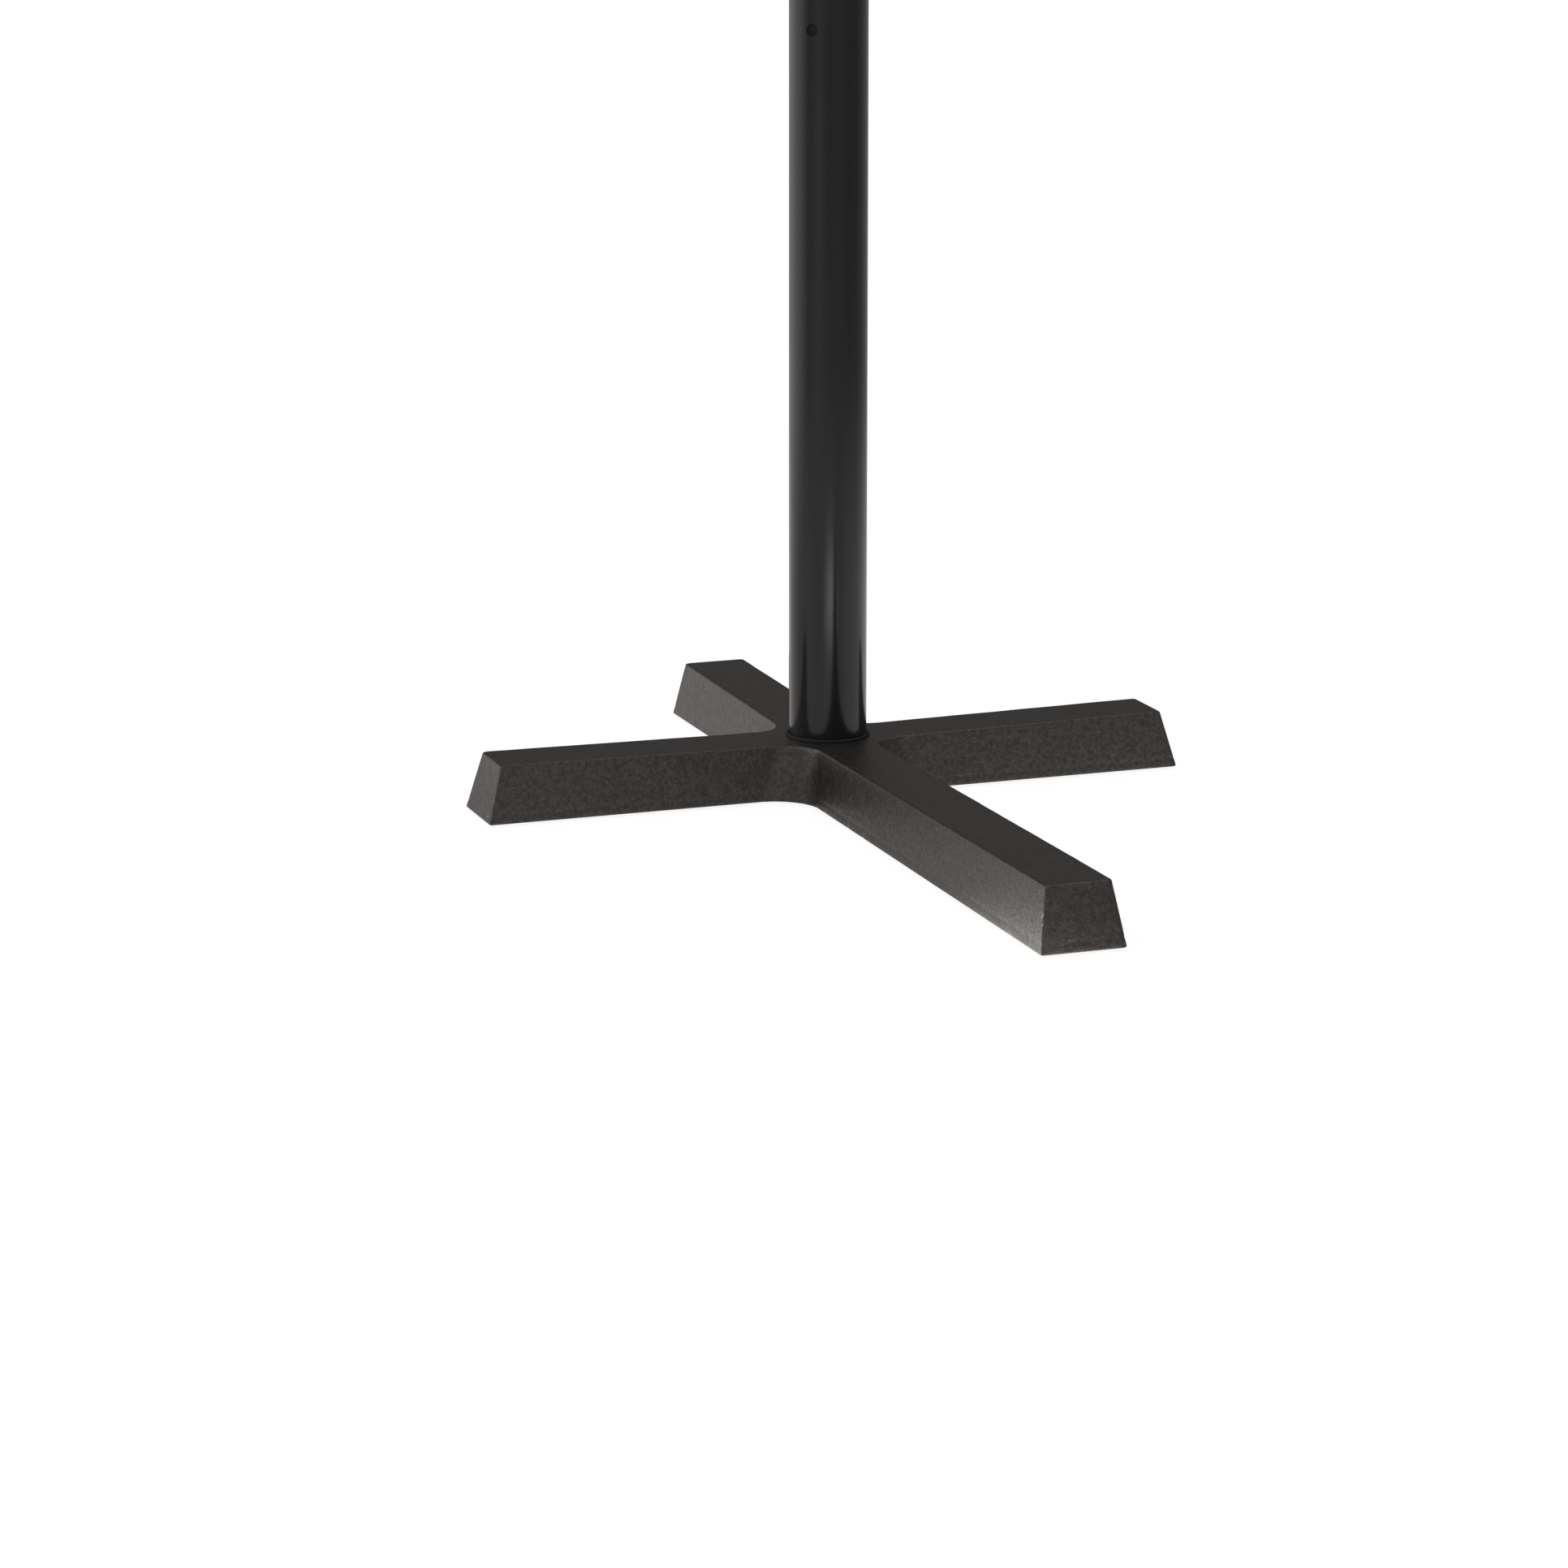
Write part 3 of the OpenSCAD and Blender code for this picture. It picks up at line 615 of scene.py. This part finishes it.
def fill_outline(vertices, faces, start, legs, height):
    """Closes an outline with a grid across each leg and one over the hub."""
    hub_rows = []
    for leg, (first, side) in enumerate(legs):
        first += start
        right = list(range(first, first + side))
        end = list(range(first + side, first + side + ACROSS - 1))
        left_first = first + side + ACROSS - 1
        left = [start + legs[(leg + 1) % 4][0]]
        left += range(left_first + side - 2, left_first - 1, -1)
        cos, sin = math.cos(LEG_TURN[leg]), math.sin(LEG_TURN[leg])
        rows = []
        for a, b in zip(right[:-1], left):
            row = [a]
            for j in range(1, ACROSS):
                point = vertices[a].lerp(vertices[b], j / ACROSS)
                row.append(len(vertices))
                out = point.x * cos + point.y * sin
                vertices.append(Vector((point.x, point.y, height(out))))
            rows.append(row + [b])
        rows.append([right[-1]] + end + [left[-1]])
        for a, b in zip(rows, rows[1:]):
            for j in range(ACROSS):
                faces.append((a[j], a[j + 1], b[j + 1], b[j]))
        hub_rows.append(rows[0])
    # grid[i][j]: i runs towards +X, j towards +Y; each leg's row runs from its right to its left
    front_row, right_row, back_row, left_row = hub_rows
    grid = [[None] * (ACROSS + 1) for _ in range(ACROSS + 1)]
    for j in range(ACROSS + 1):
        grid[j][0] = front_row[j]
        grid[ACROSS][j] = right_row[j]
        grid[ACROSS - j][ACROSS] = back_row[j]
        grid[0][ACROSS - j] = left_row[j]
    for i in range(1, ACROSS):
        for j in range(1, ACROSS):
            x, y = vertices[grid[i][0]].x, vertices[grid[0][j]].y
            grid[i][j] = len(vertices)
            vertices.append(Vector((x, y, height(max(abs(x), abs(y))))))
    for i in range(ACROSS):
        for j in range(ACROSS):
            faces.append((grid[i][j], grid[i + 1][j], grid[i + 1][j + 1], grid[i][j + 1]))


def unevenness(point, on_outer_skin):
    """Slow waviness of the cast surface, calmer over the hub and none at the floor."""
    amount = 0.00016 if point.xy.length > 0.045 else 0.00004
    wave = (noise.noise(point * 38.0) * amount
            + noise.noise(point * 110.0 + Vector((5, 3, 1))) * amount * 0.4)
    if point.z < 0.0006:
        wave = 0.0
    if on_outer_skin:
        # push towards the outline's outward side
        push = UP * 0.5
        if abs(point.x) > abs(point.y):
            push += Vector((0, 1 if point.y > 0 else -1, 0))
        else:
            push += Vector((1 if point.x > 0 else -1, 0, 0))
        return push.normalized() * wave
    if point.z > BASE_H - WALL / 2:
        return UP * wave
    return Vector((0, 0, 0))


def placed_dents():
    """The dents as (centre, spread, depth, inward direction)."""
    along = leg_point(0, 1, 0, 0)
    dents = []
    for out, across, z, radius, depth in DENTS:
        centre = leg_point(0, out, across, z)
        if centre.dot(along) > LEG_REACH[0] - TIP_ZONE:
            inward = -along
        else:
            inward = -(centre - along * centre.dot(along))
            inward.z = 0
        dents.append((centre, radius * DENT_SPREAD, depth, inward.normalized()))
    return dents


def roughen(vertices, outer_count):
    """Moves the vertices by waviness and dents; returns the scuff at each."""
    dents = placed_dents()
    scuffs = []
    for i, point in enumerate(vertices):
        moved = point + unevenness(point, i < outer_count)
        scuff = 0.0
        for centre, spread, depth, inward in dents:
            distance = (point - centre).length
            if distance < spread:
                fade = 1 - (distance / spread) ** 2
                jag = 0.7 + 0.6 * noise.noise(point * 700.0)
                moved = moved + inward * depth * fade * jag
                scuff = max(scuff, DENT_SCUFF * fade)
        vertices[i] = moved
        scuffs.append(scuff)
    return scuffs


def cast_body():
    outer, inner = outer_outlines(), underside_outlines()
    count = len(outer[0][0])
    vertices = [point for points, _ in outer + inner for point in points]
    starts = [i * count for i in range(len(outer) + len(inner))]
    outer_starts, inner_starts = starts[:len(outer)], starts[len(outer):]
    bands = list(zip(outer_starts, outer_starts[1:])) + list(zip(inner_starts, inner_starts[1:]))
    bands.append((outer_starts[0], inner_starts[0]))
    faces = []
    for a, b in bands:
        for i in range(count):
            j = (i + 1) % count
            faces.append((a + i, a + j, b + j, b + i))
    fill_outline(vertices, faces, outer_starts[-1], outer[-1][1], top_height)
    fill_outline(vertices, faces, inner_starts[-1], inner[-1][1],
                 lambda out: top_height(out) - WALL)
    scuffs = roughen(vertices, count * len(outer))
    x, y, z = BASE_ORIGIN
    vertices = [Vector((v.x + x, v.y + y, v.z + z)) for v in vertices]
    body = mesh_object("cast_base", vertices, faces, CAST, sharp_degrees=60)
    attribute = body.data.attributes.new("scuff", "FLOAT", "POINT")
    attribute.data.foreach_set("value", scuffs)
    return body


def glide_centre(leg):
    return leg_point(leg, LEG_REACH[leg] - GLIDE_INSET, 0, 0, BASE_ORIGIN)


def build_base():
    """The casting with bored bosses under the hub and over the glides."""
    hub_boss = ((6.6, 14, 0.4), (24.5, 14, 1.5), (26.5, 34, 0), (6.6, 34, 0))
    glide_boss = ((5.1, 14, 0.3), (10.6, 14, 1.0), (12.0, 35, 0), (5.1, 35, 0))
    base = cast_body()
    parts = [base, lathe("hub_boss", hub_boss, BASE_ORIGIN, segments=64)]
    for leg in range(4):
        parts.append(lathe("glide_boss", glide_boss, glide_centre(leg), segments=48))
    merge_into(base.data, parts)
    attach(base, "base", "cast_black", "base_casting")


# ------------------------------------------------------------------ post, ring and mast
def build_foot_ring():
    outer, height = size_mm("seat_ring", X) / 2, size_mm("seat_ring", Z)
    bore = 30.05
    profile = ((bore, 0, 0.1), (outer, 0, 0.3), (outer, height - 0.9, 0.9),
               (31.2, height, 0.7), (bore, height, 0.2))
    # the ring's very dark colour is partly the black ring and partly painted shade in the crease
    # around the post's foot
    ring = lathe("foot_ring", profile, (AXIS_X, AXIS_Y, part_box("seat_ring")[0][Z]),
                 material=RING_BLACK_AND_SHADE, segments=160)
    attach(ring, "base", "black_plastic", "seat_ring")


def build_post():
    """Tube with a hole drilled through both walls for the stop pin."""
    height = size_mm("lower_post", Z)
    bore = POST_R - TUBE_WALL
    hole_z = (STOP_PIN_Z - POST_LOW) / MM
    drill_r, drill_half = 4.5, 40
    # extra levels near the hole keep its faces short
    profile = ((bore, 0, 0.2), (POST_R, 0, 0.5),
               (POST_R, hole_z - 7, 0), (POST_R, hole_z - 5, 0),
               (POST_R, hole_z + 5, 0), (POST_R, hole_z + 7, 0),
               (POST_R, height, 0.6), (bore, height, 0.4),
               (bore, hole_z + 7, 0), (bore, hole_z - 7, 0))
    post = lathe("post_tube", profile, (AXIS_X, AXIS_Y, POST_LOW),
                 material=ENAMEL, segments=192)
    drill_profile = ((0, -drill_half, 0), (drill_r, -drill_half, 0),
                     (drill_r, drill_half, 0), (0, drill_half, 0))
    drill = lathe("drill", drill_profile, (AXIS_X, AXIS_Y, STOP_PIN_Z), STOP_PIN_AXIS,
                  material=ENAMEL)
    cut = post.modifiers.new("hole", "BOOLEAN")
    cut.operation = "DIFFERENCE"
    cut.solver = "EXACT"
    cut.object = drill
    apply_modifiers(post)
    bpy.data.objects.remove(drill, do_unlink=True)
    bm = bmesh.new()
    bm.from_mesh(post.data)
    shade(bm, 35)
    bm.to_mesh(post.data)
    bm.free()
    attach(post, "base", "tube_black", "lower_post")


def build_mast():
    outer, height = size_mm("inner_post", X) / 2, size_mm("inner_post", Z)
    bore = outer - TUBE_WALL
    profile = ((bore, 0, 0.3), (outer, 0, 0.5), (outer, height, 0.5), (bore, height, 0.3))
    mast = lathe("mast_tube", profile, (AXIS_X, AXIS_Y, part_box("inner_post")[0][Z]),
                 material=ENAMEL, segments=160)
    attach(mast, "mast", "tube_black", "inner_post")


# ------------------------------------------------------------------ collar, knob, stop pin
def build_collar():
    """Sleeve over the post's top, with a boss at the back for the knob's stud."""
    outer, height = size_mm("collar", X) / 2, size_mm("collar", Z)
    post_bore, mast_bore, seat = POST_R + 0.05, 26.6, 30.3
    profile = ((post_bore, 0, 0.2), (outer, 0, 1.6), (outer, height, 3.0),
               (mast_bore, height, 1.2), (mast_bore, seat, 0), (post_bore, seat, 0))
    sleeve = lathe("c0", profile, (AXIS_X, AXIS_Y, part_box("collar")[0][Z]),
                   material=ENAMEL, segments=160)
    attach(sleeve, "base", "tube_black", "collar")
    boss_profile = ((8.4, 31.5, 0), (13.5, 31.5, 0), (11.6, 36.2, 2.0), (11, 44, 1.4),
                    (5.1, 44, 0.5), (5.1, 32.5, 0), (8.4, 32.5, 0))
    boss = lathe("collar_boss", boss_profile, (AXIS_X, AXIS_Y, KNOB_Z), BACK, material=ENAMEL)
    attach(boss, "base", "tube_black")


def knob_lobes(angle, radius):
    """Six lobes on the outer part of the knob."""
    if radius <= 0.017:
        return 1.0
    lobe = 0.5 + 0.5 * math.cos(6 * angle)
    return 0.90 + 0.165 * lobe ** 1.5


def build_knob():
    profile = ((5.03, 0.1, 0.2), (9.5, 0.1, 1.0), (11.2, 6.6, 2.5), (21.5, 8.4, 3.0),
               (23.4, 15.5, 3.0), (22.5, 22.5, 3.4), (13.5, 24.6, 1.0), (12.2, 22.9, 0.3),
               (0, 22.9, 0), (0, 18.0, 0), (5.03, 18.0, 0.1))
    front_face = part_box("clamp_knob")[0][Y]
    knob = lathe("star_knob", profile, (AXIS_X, front_face, KNOB_Z), BACK,
                 material=BLACK_PLASTIC, segments=192, radial=knob_lobes)
    attach(knob, "knob", "black_plastic", "clamp_knob")


def build_stop_pin():
    """Cross pin through the post with dished ends, just inside the post's surface."""
    end = POST_R - 0.6
    half = ((3.0, end - 0.8, 0.6), (4.0, end, 0.15), (4.4, end - 0.4, 0.1))
    profile = ((0, -end + 1.0, 0), *((r, -z, rounding) for r, z, rounding in half),
               *half[::-1], (0, end - 1.0, 0))
    pin = lathe("stop_cross_pin", profile, (AXIS_X, AXIS_Y, STOP_PIN_Z), STOP_PIN_AXIS,
                material=PIN_BLACK, segments=64)
    attach(pin, "base", "black_steel", "stop_pin")


# ------------------------------------------------------------------ head and arms (mm)
HEAD_R = 36.0
HEAD_BELOW, HEAD_ABOVE = 34, 22     # head's bottom and top from the mast's top
ARM_CENTRE = Vector((AXIS_X, AXIS_Y, MAST_TOP - 0.004))     # where the arms' axes meet
ARM_R, ARM_BORE = 11, 9.5
ARM_START, ARM_END = 25.5, 292      # level arms, from the post's axis
SLOPE = math.radians(30)
SLOPE_END = 480.0                   # sloping arm's end, along the slope
PEG_COUNT, FIRST_PEG, LAST_PEG_INSET = 6, 96, 30    # first from the centre, last from the end

LEVEL_ARMS = (("right_arm", Vector((1, 0, 0))), ("back_arm", BACK),
              ("left_arm", Vector((-1, 0, 0))))
SLOPE_AXIS = Vector((0, -math.cos(SLOPE), -math.sin(SLOPE)))
SLOPE_UP = Vector((0, -math.sin(SLOPE), math.cos(SLOPE)))
# plug inside an arm's end, up to the face that meets the tube
PLUG = ((0, -14, 0), (9.1, -14, 0.8), (9.48, -11, 0.2), (9.48, 0.05, 0))


def build_head():
    """Drum with four arm sockets, welded into one casting with soft fillets."""
    height = HEAD_BELOW + HEAD_ABOVE
    core = ((0, 0, 0), (HEAD_R, 0, 3.5), (HEAD_R, height, 5), (0, height, 0))
    parts = [lathe("head_core", core, (AXIS_X, AXIS_Y, MAST_TOP - HEAD_BELOW * MM),
                   segments=128)]
    sockets = [(axis, HEAD_R + 14) for _, axis in LEVEL_ARMS] + [(SLOPE_AXIS, HEAD_R + 30)]
    for axis, length in sockets:
        socket = ((0, 10, 0), (15.6, 10, 0), (15.2, length, 1.4), (0, length, 0))
        parts.append(lathe("head_socket", socket, ARM_CENTRE, axis, segments=80))
    head = join("cast_head", parts)
    remesh = head.modifiers.new("remesh", "REMESH")
    remesh.mode = "VOXEL"
    remesh.voxel_size = 0.0011
    remesh.use_smooth_shade = True
    smooth = head.modifiers.new("smooth", "SMOOTH")
    smooth.factor = 0.5
    smooth.iterations = 9
    apply_modifiers(head)
    head.data.materials.append(CAST)
    for face in head.data.polygons:
        face.use_smooth = True
    attach(head, "mast", "tube_black", "arm_head")


def build_arm_tube(node, axis, start, end):
    length = end - start
    profile = ((ARM_BORE, 0, 0.3), (ARM_R, 0, 0.5), (ARM_R, length, 0.5),
               (ARM_BORE, length, 0.3))
    tube = lathe(node + "_tube", profile, ARM_CENTRE + axis * (start * MM), axis,
                 material=ENAMEL)
    attach(tube, "mast", "tube_black", node)


def build_arm_end(node, axis, distance, head, replaced):
    end = lathe(node + "_end", PLUG + head, ARM_CENTRE + axis * (distance * MM), axis,
                material=BLACK_PLASTIC)
    attach(end, "mast", "black_plastic", replaced)


def build_level_arms():
    flange = ((15.4, 0.05, 0.8), (16, 2.4, 1.2), (15.2, 5.0, 2.0), (9.5, 7.8, 4.0), (0, 8.0, 0))
    for node, axis in LEVEL_ARMS:
        build_arm_tube(node, axis, ARM_START, ARM_END)
        build_arm_end(node, axis, ARM_END, flange, node + "_stop")


def build_sloping_arm():
    # the near edge of the tube's end stays as far from the post's axis as the level arms
    start = (ARM_START + ARM_R * math.sin(SLOPE)) / math.cos(SLOPE)
    cap = ((11, 0.05, 0.4), (11, 2.4, 1.6), (8.4, 4.6, 2.0), (0, 5.2, 0))
    build_arm_tube("front_arm", SLOPE_AXIS, start, SLOPE_END)
    build_arm_end("front_arm", SLOPE_AXIS, SLOPE_END, cap, "front_arm_cap")


def build_pegs():
    """Row of pins standing square on the sloping arm, each with a foot bead and a head."""
    profile = ((0, 8, 0), (3, 8, 0.2), (3, 10.9, 0), (3.9, 11.05, 0.3), (3.0, 12.4, 0.6),
               (3, 24.5, 0.8), (4.9, 26.6, 2.2), (4.2, 29.6, 2.0), (0, 30, 0))
    span = SLOPE_END - FIRST_PEG - LAST_PEG_INSET
    pegs = []
    for i in range(PEG_COUNT):
        along = FIRST_PEG + i * span / (PEG_COUNT - 1)
        pegs.append(lathe("peg", profile, ARM_CENTRE + SLOPE_AXIS * (along * MM), SLOPE_UP,
                          segments=48))
    attach(join("peg_row", pegs, CHROME), "mast", "bright_metal", "hanger_pins")


def build_head_button():
    plug_depth = 5
    profile = ((0, 0.02, 0), (20, 0.02, 0.4), (20, plug_depth, 0), (24, 5.05, 0.5),
               (24, 7.2, 1.2), (20.5, 9.2, 3), (12, 10.4, 4), (0, 10.8, 0))
    button = lathe("head_button", profile,
                   (AXIS_X, AXIS_Y, MAST_TOP + (HEAD_ABOVE - plug_depth) * MM),
                   material=BLACK_PLASTIC, segments=128)
    attach(button, "mast", "black_plastic", "head_cap")


def build_glides():
    profile = ((0, 0, 0), (15, 0, 0.9), (15, 3.2, 0.8), (12, 5.1, 1.6), (8, 6.4, 0.8),
               (4.0, 6.4, 0.2), (4.0, 3.0, 0), (0, 3.0, 0))
    for leg, name in enumerate(LEG_NAMES):
        centre = glide_centre(leg)
        pad = lathe("foot_pad_" + name, profile, (centre.x, centre.y, 0), material=GLIDE)
        attach(pad, "glide_" + name, "glide_plastic", "glide_pad_" + name)


# ------------------------------------------------------------------ camera
CAMERA_YAW, CAMERA_TILT, CAMERA_ROLL = -0.34525, 0.23931, 0.00036
CAMERA_PLACE = (AXIS_X - 1.35887, AXIS_Y - 3.67934, 0.96061)
CAMERA_LENS = 119.2229814       # mm
# level directions as the camera sees them
CAMERA_FORWARD = (-math.sin(CAMERA_YAW), math.cos(CAMERA_YAW), 0)
CAMERA_RIGHT = (math.cos(CAMERA_YAW), math.sin(CAMERA_YAW), 0)


def build_camera():
    """Stands a little under four metres away, to the front and left, looking down."""
    scene = bpy.context.scene
    data = bpy.data.cameras.new("camera")
    camera = bpy.data.objects.new("camera", data)
    scene.collection.objects.link(camera)
    camera.location = CAMERA_PLACE
    camera.rotation_euler = (math.radians(90) - CAMERA_TILT, CAMERA_ROLL, CAMERA_YAW)
    data.sensor_width = 36
    data.sensor_fit = "HORIZONTAL"
    data.lens = CAMERA_LENS
    data.clip_end = 100
    scene.camera = camera


# ------------------------------------------------------------------ light
# The room as the rack's surfaces see it. Each row goes around from the camera's side,
# over the left, the back and the right, in steps of 30 degrees.
SKY_LOW = (0.35, 0.31, 0.19, 1.05, 0.97, 0.02, 0.12, 0.02, 0.21, 0.10, 0.10, 0.36)
SKY_MID = (0.53, 0.56, 0.58, 0.56, 0.35, 0.20, 0.36, 0.32, 0.37, 0.43, 0.50, 0.52)
SKY_TOP = 0.66
FLOOR_NEAR = (0.57, 0.50, 0.58, 0.48, 0.62, 0.69, 0.67, 0.70, 0.77, 0.66, 0.65, 0.46)
FLOOR_FAR = (0.28, 0.50, 0.28, 0.83, 0.89, 0.53, 0.40, 0.36, 0.31, 0.23, 0.24, 0.31)
PEAK = 1.25             # the ramps hold brightness divided by this
LOW_END, MID_AT, TOP_AT = 0.22, 0.55, 0.85      # sky bands, as fractions of the way up
FLOOR_RANGE = 4.0       # m, distance at which the floor's bands end
NEAR_END, FAR_AT = 0.15, 0.40                   # floor bands, as fractions of that range
SKY_TINT, FLOOR_TINT = (1.0, 0.963, 0.950, 1), (1.0, 0.965, 0.948, 1)
WHITE = (1, 1, 1, 1)
FLOOR_GREY, FLOOR_GLOW = (0.30, 0.30, 0.30, 1), 0.90    # what the camera sees of the floor
# bright patch on the floor: centre from the post's axis, radii where it fades (m), strength
PATCH_CENTRE, PATCH_FADE, PATCH_STRENGTH = (-0.10, -0.50, 0), (0.04, 0.20), 1.50


def around(s, direction, values):
    """Brightness by direction around the rack, as the camera sees it."""
    rightward = s.vector("DOT_PRODUCT", direction, CAMERA_RIGHT, output="Value")
    forward = s.vector("DOT_PRODUCT", direction, CAMERA_FORWARD, output="Value")
    turn = s.math("DIVIDE", s.math("ARCTAN2", rightward, forward), 2 * math.pi)
    count = len(values)
    return s.grey_ramp(s.math("ADD", turn, 0.5),
                       [(i / count, values[i % count] / PEAK) for i in range(count + 1)])


def floor_material():
    """White to the camera with a trace of shadow, glowing to the surfaces."""
    material = bpy.data.materials.new("studio_floor")
    s = Shader(material)
    output = s.node("ShaderNodeOutputMaterial")
    camera_ray = s.node("ShaderNodeLightPath").outputs["Is Camera Ray"]
    diffuse = s.node("ShaderNodeBsdfDiffuse")
    s.put(diffuse.inputs["Color"], FLOOR_GREY)
    glow = s.node("ShaderNodeEmission")
    s.put(glow.inputs["Strength"], FLOOR_GLOW)
    seen = s.node("ShaderNodeAddShader")
    s.put(seen.inputs[0], diffuse.outputs[0])
    s.put(seen.inputs[1], glow.outputs[0])
    lit = s.node("ShaderNodeEmission")
    s.put(lit.inputs["Color"], FLOOR_TINT)
    mix = s.node("ShaderNodeMixShader")
    for socket, value in zip(mix.inputs, (camera_ray, lit.outputs[0], seen.outputs[0])):
        s.put(socket, value)
    s.put(output.inputs[0], mix.outputs[0])

    position = s.node("ShaderNodeNewGeometry").outputs["Position"]
    place = s.vector("SUBTRACT", position, (AXIS_X, AXIS_Y, 0))
    distance = s.math("DIVIDE", s.vector("LENGTH", place, output="Value"), FLOOR_RANGE)
    near = s.math("MULTIPLY", around(s, place, FLOOR_NEAR),
                  s.grey_ramp(distance, [(0, 1), (NEAR_END, 1), (FAR_AT, 0)]))
    far = s.math("MULTIPLY", around(s, place, FLOOR_FAR),
                 s.grey_ramp(distance, [(NEAR_END, 0), (FAR_AT, 1), (1, 1)]))
    from_patch = s.vector("DISTANCE", place, PATCH_CENTRE, output="Value")
    patch = s.math("MULTIPLY", s.remap(from_patch, span=PATCH_FADE, to=(1.0, 0.0)),
                   PATCH_STRENGTH)
    field = s.math("MULTIPLY", s.math("ADD", near, far), PEAK)
    s.put(lit.inputs["Strength"], s.math("ADD", field, patch))
    return material


def build_floor():
    half = 30
    mesh = bpy.data.meshes.new("studio_floor")
    corners = [(-half, -half, 0), (half, -half, 0), (half, half, 0), (-half, half, 0)]
    mesh.from_pydata(corners, [], [(0, 1, 2, 3)])
    add_object("studio_floor", mesh, floor_material())


def build_world():
    """Plain white to the camera; the banded room to everything else."""
    world = bpy.data.worlds.new("studio")
    bpy.context.scene.world = world
    s = Shader(world)
    output = s.node("ShaderNodeOutputWorld")
    camera_ray = s.node("ShaderNodeLightPath").outputs["Is Camera Ray"]
    seen = s.node("ShaderNodeBackground")
    s.put_all(seen, {"Color": WHITE, "Strength": 1.0})
    room = s.node("ShaderNodeBackground")
    s.put(room.inputs["Color"], SKY_TINT)
    mix = s.node("ShaderNodeMixShader")
    for socket, value in zip(mix.inputs, (camera_ray, room.outputs[0], seen.outputs[0])):
        s.put(socket, value)
    s.put(output.inputs[0], mix.outputs[0])

    ray = s.coords("Generated")
    elevation = s.math("ARCSINE", s.vector("DOT_PRODUCT", ray, (0, 0, 1), output="Value"))
    height = s.math("DIVIDE", elevation, math.pi / 2)
    low = s.math("MULTIPLY", around(s, ray, SKY_LOW),
                 s.grey_ramp(height, [(0, 1), (LOW_END, 1), (MID_AT, 0)]))
    mid = s.math("MULTIPLY", around(s, ray, SKY_MID),
                 s.grey_ramp(height, [(LOW_END, 0), (MID_AT, 1), (TOP_AT, 0)]))
    top = s.math("MULTIPLY", s.grey_ramp(height, [(MID_AT, 0), (TOP_AT, 1)]), SKY_TOP / PEAK)
    total = s.math("ADD", s.math("ADD", low, mid), top)
    s.put(room.inputs["Strength"], s.math("MULTIPLY", total, PEAK))


# ------------------------------------------------------------------ build
paint_cad_pieces()
build_base()
build_foot_ring()
build_post()
build_mast()
build_collar()
build_knob()
build_head()
build_level_arms()
build_sloping_arm()
build_pegs()
build_head_button()
build_glides()
build_stop_pin()
build_floor()
bpy.context.scene.view_settings.view_transform = "Standard"
build_camera()
build_world()
